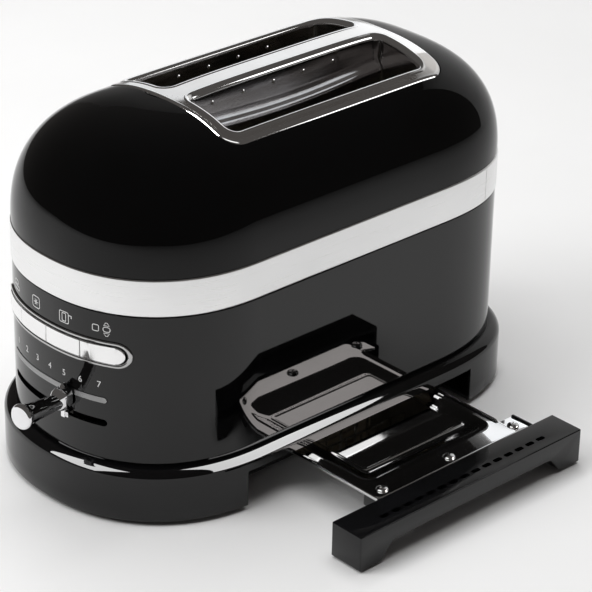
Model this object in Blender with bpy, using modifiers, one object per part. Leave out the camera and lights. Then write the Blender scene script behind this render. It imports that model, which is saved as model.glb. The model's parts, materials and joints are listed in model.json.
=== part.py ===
"""Two-slot pop-up toaster with a motor lift and a crumb tray drawn out of its base.

Blender 4.5 script, metres, +Z up. The tray side faces +X, the control panel faces -Y and the feet
stand on z = 0. The body is centred on the origin.
"""

import math

import bmesh
import bpy
from mathutils import Matrix, Vector

MM = 0.001
GAP = 0.3 * MM  # clearance kept between neighbouring pieces

# Body outline, seen from above: straight sides with rounded ends
BODY_WIDTH = 155.0 * MM
BODY_LENGTH = 296.0 * MM
FRONT_DEPTH = 79.5 * MM  # length of the rounded front end
FRONT_POWER = 2.21
REAR_DEPTH = 82.3 * MM
REAR_POWER = 2.73
END_STEPS = 24  # straight runs along each rounded end

# Heights of the stacked casings
PLINTH_BOTTOM = 2.5 * MM
PLINTH_SHOULDER = 27.7 * MM
PLINTH_TOP = 33.75 * MM
BAND_BOTTOM = 122.0 * MM
BAND_HEIGHT = 21.3 * MM
BODY_HEIGHT = 209.1 * MM
DOME_POWER = 2.48
DOME_STEPS = 8
WALL = 2.4 * MM
BAND_PROUD = 0.4 * MM
PLINTH_FLARE = 6.6 * MM
PLINTH_WALL = 2.2 * MM
SHELF_WIDTH = 7.0 * MM

# Feet and floor
FLOOR_THICKNESS = 2.0 * MM
FOOT_RADIUS = 9.0 * MM
FOOT_INSET = 15.5 * MM
FRONT_FOOT_SHARE = 0.45  # how far along the rounded end each foot stands
REAR_FOOT_SHARE = 0.5
FOOT_CHAMFER = 0.8 * MM
PAD_HEIGHT = 1.0 * MM
PAD_SIZE = 50.0 * MM

# Bread slots and their chrome frame
SLOT_WIDTH = 35.0 * MM
SLOT_LENGTH = 140.0 * MM
SLOT_SPACING = 53.0 * MM
SLOT_CENTRE_Y = 11.5 * MM
SLOT_CORNER = 5.0 * MM
FRAME_WIDTH = 104.6 * MM
FRAME_LENGTH = 162.7 * MM
FRAME_SHIFT = 2.0 * MM
FRAME_CORNER = 12.0 * MM
FRAME_THICKNESS = 2.2 * MM
FRAME_PROUD = 0.85 * MM
FRAME_CROWN = 2.0 * MM  # extra rise of the bar between the slots
FRAME_COLUMNS = 18  # faces across and along the frame
FRAME_ROWS = 20
LINER_WALL = 0.8 * MM
LINER_DEPTH = 32.0 * MM

# Toasting chamber
SHEET = 1.0 * MM
CHAMBER_MARGIN = 4.0 * MM
CHASSIS_HALF_WIDTH = 58.0 * MM
GUIDE_REST = 14.5 * MM
GUIDE_TRAVEL = 5.0 * MM
GUIDE_THICKNESS = 1.6 * MM
GUIDE_WIRE = 2.0 * MM
GUIDE_PITCH = 23.0 * MM
CARD_THICKNESS = 1.0 * MM
INNER_CARD_X = 6.5 * MM
CARD_TO_GUIDE = 7.5 * MM
WINDING_RADIUS = 0.6 * MM
WINDING_ROWS = 8

# Bread lift
LIFT_TRAVEL = 84.0 * MM
RACK_LOW_Z = 58.0 * MM
RACK_THICKNESS = 2.0 * MM
TINE_REACH = 8.0 * MM
TINE_WIDTH = 3.0 * MM
ARM_WIDTH = 4.0 * MM
CARRIAGE_HEIGHT = 10.0 * MM
CARRIAGE_THICKNESS = 7.5 * MM
BAR_OVERLAP = 0.6 * MM
TOOTH_PITCH = 4.0 * MM
TOOTH_HEIGHT = 2.0 * MM
PINION_TEETH = 12
RACK_GEAR_WIDTH = 4.0 * MM
RACK_BACK = 4.5 * MM
ROD_RADIUS = 1.8 * MM
ROD_SPACING = 40.0 * MM
ROD_CLEARANCE = 0.5 * MM
MOTOR_RADIUS = 12.0 * MM
MOTOR_LENGTH = 28.0 * MM
SHAFT_RADIUS = 1.5 * MM

# Front controls
BEZEL_CENTRE_Z = 98.1 * MM
BEZEL_LENGTH = 101.6 * MM
BEZEL_HEIGHT = 15.2 * MM
BEZEL_RIM = 2.3 * MM
BUTTON_NAMES = ("warm_button", "defrost_button", "sandwich_button", "bagel_button")
BUTTON_CLEARANCE = 0.4 * MM
BUTTON_TRAVEL = 1.0 * MM
TRACK_Z = 70.0 * MM
TRACK_LENGTH = 77.0 * MM
TRACK_HEIGHT = 3.2 * MM
TRACK_DEPTH = 0.8 * MM
LEVER_SLOT_Z = 56.3 * MM
LEVER_SLOT_HEIGHT = 4.2 * MM
LEVER_ARC_RADIUS = 95.5 * MM
LEVER_REST_X = 15.0 * MM
LEVER_STANDOFF = 1.3 * MM
STEM_WIDTH = 4.8 * MM
STEM_CLEARANCE = 0.6 * MM
HUB_WIDTH = 10.0 * MM
HUB_DEPTH = 10.5 * MM
HUB_LOW_Z = 59.5 * MM
HUB_TOP_Z = 73.0 * MM
POINTER_TOP_Z = 75.0 * MM
POINTER_DEPTH = 4.5 * MM
CARRIAGE_REACH = 7.0 * MM  # slider carriage inside the panel
RAIL_HEIGHT = 16.0 * MM
KNOB_REACH = 37.6 * MM
KNOB_Z = 65.0 * MM
KNOB_TILT = math.radians(6.0)
KNOB_ROOT_RADIUS = 4.1 * MM
KNOB_END_RADIUS = 7.0 * MM
BOARD_SETBACK = 22.0 * MM
BOARD_THICKNESS = 1.6 * MM
BOARD_HEIGHT = 26.0 * MM
SWITCH_HEIGHT = 5.0 * MM
SWITCH_BODY = 3.5 * MM
SWITCH_SIZE = 6.0 * MM
PLUNGER_RADIUS = 1.7 * MM
STEM_SIZE = 5.0 * MM  # button stems

# Crumb tray, drawn out
TRAY_PULL = 84.6 * MM
HANDLE_DEPTH = 21.8 * MM
HANDLE_LENGTH = 170.1 * MM
HANDLE_CENTRE_Y = 6.15 * MM
HANDLE_BOTTOM = 1.2 * MM
HANDLE_TOP = 21.9 * MM
HANDLE_WALL = 2.5 * MM
ARCH_RISE = 9.6 * MM
ARCH_LEG = 13.9 * MM
ARCH_EASE = 12.0 * MM
VENT_COUNT = 15
VENT_PITCH = 8.57 * MM
VENT_LENGTH = 6.0 * MM
VENT_WIDTH = 3.0 * MM
VENT_SETBACK = 7.9 * MM
BAY_CLEARANCE = 1.2 * MM
BAY_HEADROOM = 2.0 * MM
ARM_BOTTOM = 8.8 * MM
PAN_WIDTH = 107.4 * MM
PAN_CENTRE_Y = 10.7 * MM
PAN_LENGTH = 119.8 * MM
PAN_LIP = 1.1 * MM  # how far the pan stops short of the handle
PAN_TOP = 20.0 * MM
PAN_SHEET = 0.8 * MM
PAN_DEPTH = 4.0 * MM
PAN_RIM = 2.5 * MM
WING_LENGTH = 14.8 * MM
WING_REACH = 10.0 * MM
SCREW_SETBACK = 7.1 * MM
SCREW_HEAD_RADIUS = 3.4 * MM
SCREW_SHAFT_RADIUS = 1.5 * MM
SCREW_MARGIN = 7.6 * MM
RAIL_END_X = 48.0 * MM

# Mains inlet
GLAND_RADIUS = 6.0 * MM
GLAND_Z = 48.0 * MM

# Values worked out from the dimensions above
HALF_WIDTH = BODY_WIDTH / 2
FRONT_Y0 = -BODY_LENGTH / 2 + FRONT_DEPTH
REAR_Y0 = BODY_LENGTH / 2 - REAR_DEPTH
FRONT_Y = -BODY_LENGTH / 2
BAND_TOP = BAND_BOTTOM + BAND_HEIGHT
FLOOR_Z = PLINTH_BOTTOM + 0.5 * MM
FLOOR_TOP = FLOOR_Z + FLOOR_THICKNESS
SLOT_X = SLOT_SPACING / 2
FRAME_CENTRE_Y = SLOT_CENTRE_Y + FRAME_SHIFT
CHAMBER_FRONT = SLOT_CENTRE_Y - SLOT_LENGTH / 2 - CHAMBER_MARGIN
CHAMBER_REAR = SLOT_CENTRE_Y + SLOT_LENGTH / 2 + CHAMBER_MARGIN
BASE_SIDE = HALF_WIDTH + PLINTH_FLARE
HANDLE_OUTER = BASE_SIDE + TRAY_PULL
HANDLE_INNER = HANDLE_OUTER - HANDLE_DEPTH
PAN_FRONT_X = HANDLE_INNER - PAN_LIP
PAN_REAR_X = PAN_FRONT_X - PAN_LENGTH
PAN_LOW_Y = PAN_CENTRE_Y - PAN_WIDTH / 2
PAN_HIGH_Y = PAN_CENTRE_Y + PAN_WIDTH / 2
RACK_HIGH_Z = RACK_LOW_Z + LIFT_TRAVEL
PINION_RADIUS = PINION_TEETH * TOOTH_PITCH / (2 * math.pi)
PINION_Z = RACK_HIGH_Z - LIFT_TRAVEL / 2 + 1.0 * MM
CARRIAGE_BACK = CHAMBER_FRONT - SHEET - 2.5 * MM
CARRIAGE_FRONT = CARRIAGE_BACK - CARRIAGE_THICKNESS
ROD_Y = (CARRIAGE_BACK + CARRIAGE_FRONT) / 2
GEAR_MIDDLE_Y = CARRIAGE_FRONT - RACK_GEAR_WIDTH / 2
LEVER_AXIS_Y = FRONT_Y + LEVER_ARC_RADIUS
LEVER_REST_ANGLE = math.asin(LEVER_REST_X / LEVER_ARC_RADIUS)
BOARD_Y = FRONT_Y + BOARD_SETBACK
CUT = 200.0 * MM  # length that surely passes through a wall

UPRIGHT_XZ = Matrix.Rotation(math.pi / 2, 4, "X")
UPRIGHT_YZ = Matrix(((0, 0, 1, 0), (1, 0, 0, 0), (0, 1, 0, 0), (0, 0, 0, 1)))


# ---------------------------------------------------------------- scene


def clear_scene():
    for old in list(bpy.data.objects):
        bpy.data.objects.remove(old, do_unlink=True)


def new_collection(name):
    collection = bpy.data.collections.new(name)
    bpy.context.scene.collection.children.link(collection)
    return collection


def material(name, colour, roughness, metallic=0.0):
    made = bpy.data.materials.new(name)
    made.use_nodes = True
    shader = made.node_tree.nodes["Principled BSDF"]
    shader.inputs["Base Color"].default_value = (*colour, 1.0)
    shader.inputs["Roughness"].default_value = roughness
    shader.inputs["Metallic"].default_value = metallic
    return made


clear_scene()
PARTS = new_collection("pop_up_toaster")
TOOLS = new_collection("cutters")

GLOSS_BLACK = material("gloss_black", (0.01, 0.01, 0.011), 0.08)
BRUSHED_SILVER = material("brushed_silver", (0.62, 0.63, 0.64), 0.3, 1.0)
CHROME = material("chrome", (0.8, 0.8, 0.81), 0.08, 1.0)
BLACK_CHROME = material("black_chrome", (0.05, 0.05, 0.055), 0.1, 1.0)
STEEL = material("steel", (0.55, 0.55, 0.56), 0.35, 1.0)
BLACK_PLASTIC = material("black_plastic", (0.02, 0.02, 0.022), 0.45)
RUBBER = material("rubber", (0.03, 0.03, 0.03), 0.8)
MICA = material("mica", (0.62, 0.55, 0.42), 0.6)
NICHROME = material("nichrome", (0.4, 0.36, 0.33), 0.4, 1.0)
BOARD_GREEN = material("circuit_board", (0.04, 0.2, 0.09), 0.5)


# ---------------------------------------------------------------- shape helpers


def add_object(name, mesh, finish, place=None):
    """Put a mesh into the model, or among the cutters when it has no finish."""
    made = bpy.data.objects.new(name, mesh)
    if place is not None:
        made.matrix_world = place
    if finish is None:
        TOOLS.objects.link(made)
        made.hide_render = True
        made.display_type = "WIRE"
    else:
        PARTS.objects.link(made)
        mesh.materials.append(finish)
    return made


def mesh_from(bm, name):
    mesh = bpy.data.meshes.new(name)
    bmesh.ops.recalc_face_normals(bm, faces=bm.faces)
    bm.to_mesh(mesh)
    bm.free()
    return mesh


def smooth(made, angle=30.0):
    made.data.shade_smooth()
    made.data.set_sharp_from_angle(angle=math.radians(angle))


def bevel(made, width, segments=2):
    modifier = made.modifiers.new("rounded_edges", "BEVEL")
    modifier.width = width
    modifier.segments = segments
    modifier.limit_method = "ANGLE"
    return made


def boolean(made, other, operation):
    modifier = made.modifiers.new(operation.lower(), "BOOLEAN")
    modifier.operation = operation
    modifier.object = other
    return made


def box(name, low, high, finish=None):
    low, high = Vector(low), Vector(high)
    bm = bmesh.new()
    bmesh.ops.create_cube(bm, size=1.0)
    bmesh.ops.scale(bm, vec=high - low, verts=bm.verts)
    return add_object(name, mesh_from(bm, name), finish, Matrix.Translation((low + high) / 2))


def cylinder(name, radius, length, centre, turn=None, finish=None, sides=24):
    bm = bmesh.new()
    bmesh.ops.create_cone(bm, cap_ends=True, segments=sides, radius1=radius, radius2=radius, depth=length)
    place = Matrix.Translation(centre) @ (turn or Matrix.Identity(4))
    made = add_object(name, mesh_from(bm, name), finish, place)
    smooth(made)
    return made


def as_mesh(curve_object, finish):
    """Turn a curve object into a welded mesh object with the same name and place."""
    PARTS.objects.link(curve_object)
    graph = bpy.context.evaluated_depsgraph_get()
    mesh = bpy.data.meshes.new_from_object(curve_object.evaluated_get(graph))
    name, place = curve_object.name, curve_object.matrix_world.copy()
    bpy.data.objects.remove(curve_object, do_unlink=True)
    bm = bmesh.new()
    bm.from_mesh(mesh)
    bmesh.ops.remove_doubles(bm, verts=bm.verts, dist=0.001 * MM)
    bmesh.ops.recalc_face_normals(bm, faces=bm.faces)
    bm.to_mesh(mesh)
    bm.free()
    mesh.materials.clear()
    return add_object(name, mesh, finish, place)


def prism(name, outlines, thickness, place, finish=None):
    """Extrude flat outlines, the first outside and the rest holes, about the plane of place."""
    curve = bpy.data.curves.new(name, "CURVE")
    curve.dimensions = "2D"
    curve.fill_mode = "BOTH"
    curve.extrude = thickness / 2
    for outline in outlines:
        spline = curve.splines.new("POLY")
        spline.points.add(len(outline) - 1)
        for point, (x, y) in zip(spline.points, outline):
            point.co = (x, y, 0.0, 1.0)
        spline.use_cyclic_u = True
    made = bpy.data.objects.new(name, curve)
    made.matrix_world = place
    return as_mesh(made, finish)


def tube(name, points, radius, finish):
    curve = bpy.data.curves.new(name, "CURVE")
    curve.dimensions = "3D"
    curve.bevel_depth = radius
    curve.bevel_resolution = 2
    curve.use_fill_caps = True
    spline = curve.splines.new("POLY")
    spline.points.add(len(points) - 1)
    for point, place in zip(spline.points, points):
        point.co = (*place, 1.0)
    made = bpy.data.objects.new(name, curve)
    curve.materials.append(finish)
    PARTS.objects.link(made)
    return made


def turned(name, profile, place, finish, steps=24):
    """Revolve a profile of (radius, height) points about local Z, listed from the top down."""
    mesh = bpy.data.meshes.new(name)
    points = [(radius, 0.0, height) for radius, height in profile]
    mesh.from_pydata(points, [(i, i + 1) for i in range(len(points) - 1)], [])
    made = add_object(name, mesh, finish, place)
    screw = made.modifiers.new("turned", "SCREW")
    screw.steps = steps
    screw.render_steps = steps
    screw.use_merge_vertices = True
    screw.merge_threshold = 0.01 * MM
    screw.use_smooth_shade = True
    return made


def skin(name, rings, thickness, finish, close_top=False):
    """Loft a surface through rings listed from the bottom up and thicken it inwards."""
    bm = bmesh.new()
    loops = [[bm.verts.new(point) for point in ring] for ring in rings]
    count = len(loops[0])
    for below, above in zip(loops, loops[1:]):
        for i in range(count):
            j = (i + 1) % count
            bm.faces.new((below[i], below[j], above[j], above[i]))
    if close_top:
        bm.faces.new(loops[-1])
    return thickened(name, bm, thickness, finish)


def sheet(name, rows, thickness, finish):
    """An open sheet through rows of points, each from -X to +X, thickened downwards."""
    bm = bmesh.new()
    grid = [[bm.verts.new(point) for point in row] for row in rows]
    for near, far in zip(grid, grid[1:]):
        for i in range(len(near) - 1):
            bm.faces.new((near[i], near[i + 1], far[i + 1], far[i]))
    return thickened(name, bm, thickness, finish)


def thickened(name, bm, thickness, finish):
    mesh = bpy.data.meshes.new(name)
    bm.to_mesh(mesh)
    bm.free()
    made = add_object(name, mesh, finish)
    solid = made.modifiers.new("wall", "SOLIDIFY")
    solid.thickness = thickness
    solid.offset = -1.0
    solid.use_even_offset = True
    smooth(made)
    return made


def moved(x=0.0, y=0.0, z=0.0):
    return Matrix.Translation((x, y, z))


# ---------------------------------------------------------------- outlines


def signed_power(value, power):
    return math.copysign(abs(value) ** power, value)


def body_outline(offset=0.0, scale=1.0):
    """Plan outline, counter-clockwise from the front end of the +X side."""
    points = []
    ends = (
        (REAR_Y0, REAR_DEPTH, REAR_POWER, 0.0),
        (FRONT_Y0, FRONT_DEPTH, FRONT_POWER, math.pi),
    )
    for middle, depth, power, start in ends:
        for step in range(END_STEPS + 1):
            angle = start + math.pi * step / END_STEPS
            x = (HALF_WIDTH * scale + offset) * signed_power(math.cos(angle), 2 / power)
            y = middle + (depth * scale + offset) * signed_power(math.sin(angle), 2 / power)
            points.append((x, y))
    return points


def front_arc(offset, half_width):
    """The part of the outline across the control panel, from -X to +X."""
    points = [p for p in body_outline(offset) if p[1] < FRONT_Y0 and abs(p[0]) <= half_width]
    return sorted(points)


def ring_at(outline, z):
    return [(x, y, z) for x, y in outline]


def arc(centre, radius, start, end, steps):
    turns = [math.radians(start + (end - start) * step / steps) for step in range(steps + 1)]
    return [(centre[0] + radius * math.cos(a), centre[1] + radius * math.sin(a)) for a in turns]


def rounded_box(centre, width, height, radius, steps=4):
    """Rounded rectangle, counter-clockwise."""
    x, y = width / 2 - radius, height / 2 - radius
    points = []
    for sx, sy, start in ((1, 1, 0), (-1, 1, 90), (-1, -1, 180), (1, -1, 270)):
        points += arc((centre[0] + sx * x, centre[1] + sy * y), radius, start, start + 90, steps)
    return points


def stadium(centre, length, height, steps=8):
    return rounded_box(centre, length, height, height / 2 * 0.999, steps // 2)


# ---------------------------------------------------------------- casings


def dome_rings(offset):
    rings = []
    for step in range(DOME_STEPS + 1):
        angle = math.radians(min(90.0 * step / DOME_STEPS, 88.5))
        reach = math.cos(angle) ** (2 / DOME_POWER)
        rise = math.sin(angle) ** (2 / DOME_POWER)
        height = BODY_HEIGHT - BAND_TOP - GAP + offset
        rings.append(ring_at(body_outline(offset * reach, reach), BAND_TOP + GAP + height * rise))
    return rings


def upper_shell():
    shell = skin("upper_shell", dome_rings(0.0), WALL, GLOSS_BLACK, close_top=True)
    opening = rounded_box(
        (0, FRAME_CENTRE_Y), FRAME_WIDTH + 2 * GAP, FRAME_LENGTH + 2 * GAP, FRAME_CORNER + GAP
    )
    boolean(shell, prism("frame_opening", [opening], CUT, moved(z=BODY_HEIGHT)), "DIFFERENCE")


def slot_outline(side, grow=0.0):
    centre = (side * SLOT_X, SLOT_CENTRE_Y)
    return rounded_box(centre, SLOT_WIDTH + 2 * grow, SLOT_LENGTH + 2 * grow, SLOT_CORNER + grow)


def frame_height(x, y):
    """Height of the frame's top: it follows the dome and is crowned between the slots."""
    across = 1 - (2 * x / FRAME_WIDTH) ** 2
    along = 1 - (2 * (y - FRAME_CENTRE_Y) / FRAME_LENGTH) ** 4
    return dome_height(x, y, FRAME_PROUD) + FRAME_CROWN * max(across, 0.0) * max(along, 0.0)


def slot_frame():
    """Chrome plate, cut to its outline and its slots from a sheet over the dome's top."""
    half_x, half_y = FRAME_WIDTH / 2 + 2 * GAP, FRAME_LENGTH / 2 + 2 * GAP
    across = [half_x * (2 * i / FRAME_COLUMNS - 1) for i in range(FRAME_COLUMNS + 1)]
    rows = []
    for j in range(FRAME_ROWS + 1):
        y = FRAME_CENTRE_Y + half_y * (2 * j / FRAME_ROWS - 1)
        rows.append([(x, y, frame_height(x, y)) for x in across])
    frame = sheet("slot_frame", rows, FRAME_THICKNESS, CHROME)
    outline = rounded_box((0, FRAME_CENTRE_Y), FRAME_WIDTH, FRAME_LENGTH, FRAME_CORNER)
    stamp = prism(
        "frame_stamp", [outline, slot_outline(-1), slot_outline(1)], CUT, moved(z=BODY_HEIGHT)
    )
    boolean(frame, stamp, "INTERSECT")


def dome_height(x, y, offset=0.0):
    """Height of the dome's outer surface, offset outwards, above a point of the plan."""
    middle, depth, power = (FRONT_Y0, FRONT_DEPTH, FRONT_POWER)
    if y > REAR_Y0:
        middle, depth, power = (REAR_Y0, REAR_DEPTH, REAR_POWER)
    beyond = max(middle - y, 0.0) if middle == FRONT_Y0 else y - middle
    reach = ((abs(x) / HALF_WIDTH) ** power + (beyond / depth) ** power) ** (1 / power)
    rise = max(1 - reach ** DOME_POWER, 0.0) ** (1 / DOME_POWER)
    return BAND_TOP + (BODY_HEIGHT - BAND_TOP + offset) * rise


def slot_liners():
    top = dome_height(SLOT_X + SLOT_WIDTH / 2 + LINER_WALL, CHAMBER_REAR, FRAME_PROUD)
    top -= FRAME_THICKNESS + 2 * GAP
    for side, name in ((-1, "slot_liner_left"), (1, "slot_liner_right")):
        outlines = [slot_outline(side, GAP + LINER_WALL), slot_outline(side, GAP)]
        prism(name, outlines, LINER_DEPTH, moved(z=top - LINER_DEPTH / 2), CHROME)
    return top - LINER_DEPTH


def trim_band():
    rings = [ring_at(body_outline(BAND_PROUD), z) for z in (BAND_BOTTOM, BAND_TOP)]
    seam_y = (REAR_Y0 + BODY_LENGTH / 2) / 2
    for name, near, far in (
        ("trim_band", FRONT_Y - CUT, seam_y - GAP / 2),
        ("rear_trim_band", seam_y + GAP / 2, BODY_LENGTH / 2 + CUT),
    ):
        band = skin(name, rings, WALL, BRUSHED_SILVER)
        keep = box(name + "_keep", (-CUT, near, 0), (CUT, far, CUT * 2))
        boolean(band, keep, "INTERSECT")


def on_front(name, outlines, inner, outer, finish=None):
    """A curved piece of the control panel between two offsets from the body's wall.

    The outlines lie in the XZ plane and the piece follows the curve of the front.
    """
    lows = [min(z for _, z in outline) for outline in outlines]
    highs = [max(z for _, z in outline) for outline in outlines]
    low, high = min(lows) - MM, max(highs) + MM
    reach = max(abs(x) for outline in outlines for x, _ in outline) + 12 * MM
    strip = front_arc(outer, reach) + front_arc(inner, reach)[::-1]
    piece = prism(name, [strip], high - low, moved(z=(low + high) / 2), finish)
    stamp = prism(name + "_stamp", outlines, BODY_LENGTH, moved(y=FRONT_Y) @ UPRIGHT_XZ)
    return boolean(piece, stamp, "INTERSECT")


def through_front(target, name, outline):
    depth = 40 * MM
    cutter = prism(name, [outline], depth, moved(y=FRONT_Y + depth / 4) @ UPRIGHT_XZ)
    return boolean(target, cutter, "DIFFERENCE")


def bezel_outline(grow=0.0):
    return stadium((0, BEZEL_CENTRE_Z), BEZEL_LENGTH + 2 * grow, BEZEL_HEIGHT + 2 * grow)


def track_outline(grow=0.0):
    return stadium((0, TRACK_Z), TRACK_LENGTH + 2 * grow, TRACK_HEIGHT + 2 * grow)


def lever_slot_outline():
    return stadium((0, LEVER_SLOT_Z), TRACK_LENGTH, LEVER_SLOT_HEIGHT)


def lower_shell():
    rings = [ring_at(body_outline(), z) for z in (PLINTH_TOP + GAP, BAND_BOTTOM - GAP)]
    shell = skin("lower_shell", rings, WALL, GLOSS_BLACK)
    through_front(shell, "button_window", bezel_outline(GAP))
    through_front(shell, "lever_slot", lever_slot_outline())
    groove = on_front("track_groove", [track_outline(GAP)], -TRACK_DEPTH - GAP, 5 * MM)
    boolean(shell, groove, "DIFFERENCE")
    hole = cylinder(
        "gland_hole", GLAND_RADIUS + GAP, 40 * MM, (0, BODY_LENGTH / 2, GLAND_Z), UPRIGHT_XZ
    )
    boolean(shell, hole, "DIFFERENCE")


def base_plinth():
    rings = [ring_at(body_outline(PLINTH_FLARE), z) for z in (PLINTH_BOTTOM, PLINTH_SHOULDER)]
    rise = PLINTH_TOP - PLINTH_SHOULDER
    for degrees in (30, 60, 90):
        angle = math.radians(degrees)
        rings.append(
            ring_at(body_outline(PLINTH_FLARE * math.cos(angle)), PLINTH_SHOULDER + rise * math.sin(angle))
        )
    rings.append(ring_at(body_outline(-SHELF_WIDTH), PLINTH_TOP))
    plinth = skin("base_plinth", rings, PLINTH_WALL, GLOSS_BLACK)
    half = HANDLE_LENGTH / 2 + BAY_CLEARANCE
    bay = box(
        "tray_bay",
        (HALF_WIDTH / 2, HANDLE_CENTRE_Y - half, -CUT),
        (BODY_WIDTH, HANDLE_CENTRE_Y + half, HANDLE_TOP + BAY_HEADROOM),
    )
    boolean(plinth, bay, "DIFFERENCE")


def bottom_plate():
    outline = body_outline(PLINTH_FLARE - PLINTH_WALL - GAP)
    plate = prism(
        "bottom_plate", [outline], FLOOR_THICKNESS, moved(z=FLOOR_Z + FLOOR_THICKNESS / 2), BLACK_PLASTIC
    )
    half = HANDLE_LENGTH / 2 + BAY_CLEARANCE
    notch = box(
        "handle_notch",
        (HANDLE_INNER - TRAY_PULL - BAY_CLEARANCE, HANDLE_CENTRE_Y - half, -CUT),
        (BODY_WIDTH, HANDLE_CENTRE_Y + half, CUT),
    )
    boolean(plate, notch, "DIFFERENCE")
    pad = box(
        "underside_pad",
        (-PAD_SIZE / 2, -PAD_SIZE / 2, PAD_HEIGHT),
        (PAD_SIZE / 2, PAD_SIZE / 2, FLOOR_Z + FLOOR_THICKNESS / 2),
    )
    boolean(plate, pad, "UNION")


def feet():
    reach = HALF_WIDTH - FOOT_INSET
    front = FRONT_Y0 - FRONT_DEPTH * FRONT_FOOT_SHARE
    rear = REAR_Y0 + REAR_DEPTH * REAR_FOOT_SHARE
    profile = [
        (0, FLOOR_Z - GAP),
        (FOOT_RADIUS, FLOOR_Z - GAP),
        (FOOT_RADIUS, FOOT_CHAMFER),
        (FOOT_RADIUS - FOOT_CHAMFER, 0),
        (0, 0),
    ]
    for name, x, y in (
        ("foot_front_left", -reach, front),
        ("foot_front_right", reach, front),
        ("foot_rear_left", -reach, rear),
        ("foot_rear_right", reach, rear),
    ):
        turned(name, profile, moved(x, y), RUBBER)


# ---------------------------------------------------------------- controls


def button_edges():
    """Left and right ends of the four buttons inside the bezel."""
    inner = BEZEL_LENGTH / 2 - BEZEL_RIM
    pitch = inner / 2
    return [(-inner + i * pitch, -inner + (i + 1) * pitch) for i in range(len(BUTTON_NAMES))]


def control_bezel():
    ring = [bezel_outline(), bezel_outline(-BEZEL_RIM)]
    on_front("control_bezel", ring, -WALL, 1.0 * MM, CHROME)


def buttons():
    edges = button_edges()
    for index, (name, (left, right)) in enumerate(zip(BUTTON_NAMES, edges)):
        low = left + (BUTTON_CLEARANCE if index == 0 else BUTTON_CLEARANCE / 2)
        high = right - (BUTTON_CLEARANCE if index == len(edges) - 1 else BUTTON_CLEARANCE / 2)
        outline = button_outline(low, high, index)
        cap = on_front(name, [outline], -4.0 * MM, 1.3 * MM, BRUSHED_SILVER)
        middle = (low + high) / 2
        stem = box(
            name + "_stem",
            (middle - STEM_SIZE / 2, front_wall(middle) + 3.5 * MM, BEZEL_CENTRE_Z - 2 * MM),
            (middle + STEM_SIZE / 2, switch_tip_y() - BUTTON_TRAVEL - GAP, BEZEL_CENTRE_Z + 2 * MM),
        )
        boolean(cap, stem, "UNION")
        hang(cap, empty(name + "_slide", (middle, FRONT_Y, BEZEL_CENTRE_Z)))


def button_outline(low, high, index):
    """One button: square ends between neighbours, a half-round end next to the bezel."""
    half = BEZEL_HEIGHT / 2 - BEZEL_RIM - BUTTON_CLEARANCE
    if index == 0:
        end = arc((low + half, BEZEL_CENTRE_Z), half, 90, 270, 8)
        return end + [(high, BEZEL_CENTRE_Z - half), (high, BEZEL_CENTRE_Z + half)]
    if index == len(BUTTON_NAMES) - 1:
        end = arc((high - half, BEZEL_CENTRE_Z), half, -90, 90, 8)
        return end + [(low, BEZEL_CENTRE_Z + half), (low, BEZEL_CENTRE_Z - half)]
    return rounded_box(((low + high) / 2, BEZEL_CENTRE_Z), high - low, 2 * half, 0.3 * MM, 1)


def front_wall(x, offset=0.0):
    """Y of the front wall at a given x."""
    share = (abs(x) / (HALF_WIDTH + offset)) ** FRONT_POWER
    return FRONT_Y0 - (FRONT_DEPTH + offset) * (1 - share) ** (1 / FRONT_POWER)



def switch_tip_y():
    return BOARD_Y - BOARD_THICKNESS / 2 - GAP - SWITCH_HEIGHT


def control_board():
    reach = BEZEL_LENGTH / 2 - 7 * MM
    box(
        "control_board",
        (-reach, BOARD_Y - BOARD_THICKNESS / 2, BEZEL_CENTRE_Z - BOARD_HEIGHT / 2),
        (reach, BOARD_Y + BOARD_THICKNESS / 2, BEZEL_CENTRE_Z + BOARD_HEIGHT / 2),
        BOARD_GREEN,
    )
    face = BOARD_Y - BOARD_THICKNESS / 2 - GAP
    for name, (left, right) in zip(BUTTON_NAMES, button_edges()):
        middle = (left + right) / 2
        body = box(
            name.replace("_button", "_switch"),
            (middle - SWITCH_SIZE / 2, face - SWITCH_BODY, BEZEL_CENTRE_Z - SWITCH_SIZE / 2),
            (middle + SWITCH_SIZE / 2, face, BEZEL_CENTRE_Z + SWITCH_SIZE / 2),
            BLACK_PLASTIC,
        )
        plunger = cylinder(
            name + "_plunger",
            PLUNGER_RADIUS,
            SWITCH_HEIGHT - 1 * MM,
            (middle, face - SWITCH_HEIGHT + (SWITCH_HEIGHT - 1 * MM) / 2, BEZEL_CENTRE_Z),
            UPRIGHT_XZ,
            sides=12,
        )
        boolean(body, plunger, "UNION")


def browning_track():
    on_front("browning_track", [track_outline()], -TRACK_DEPTH, 0.3 * MM, BRUSHED_SILVER)


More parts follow.
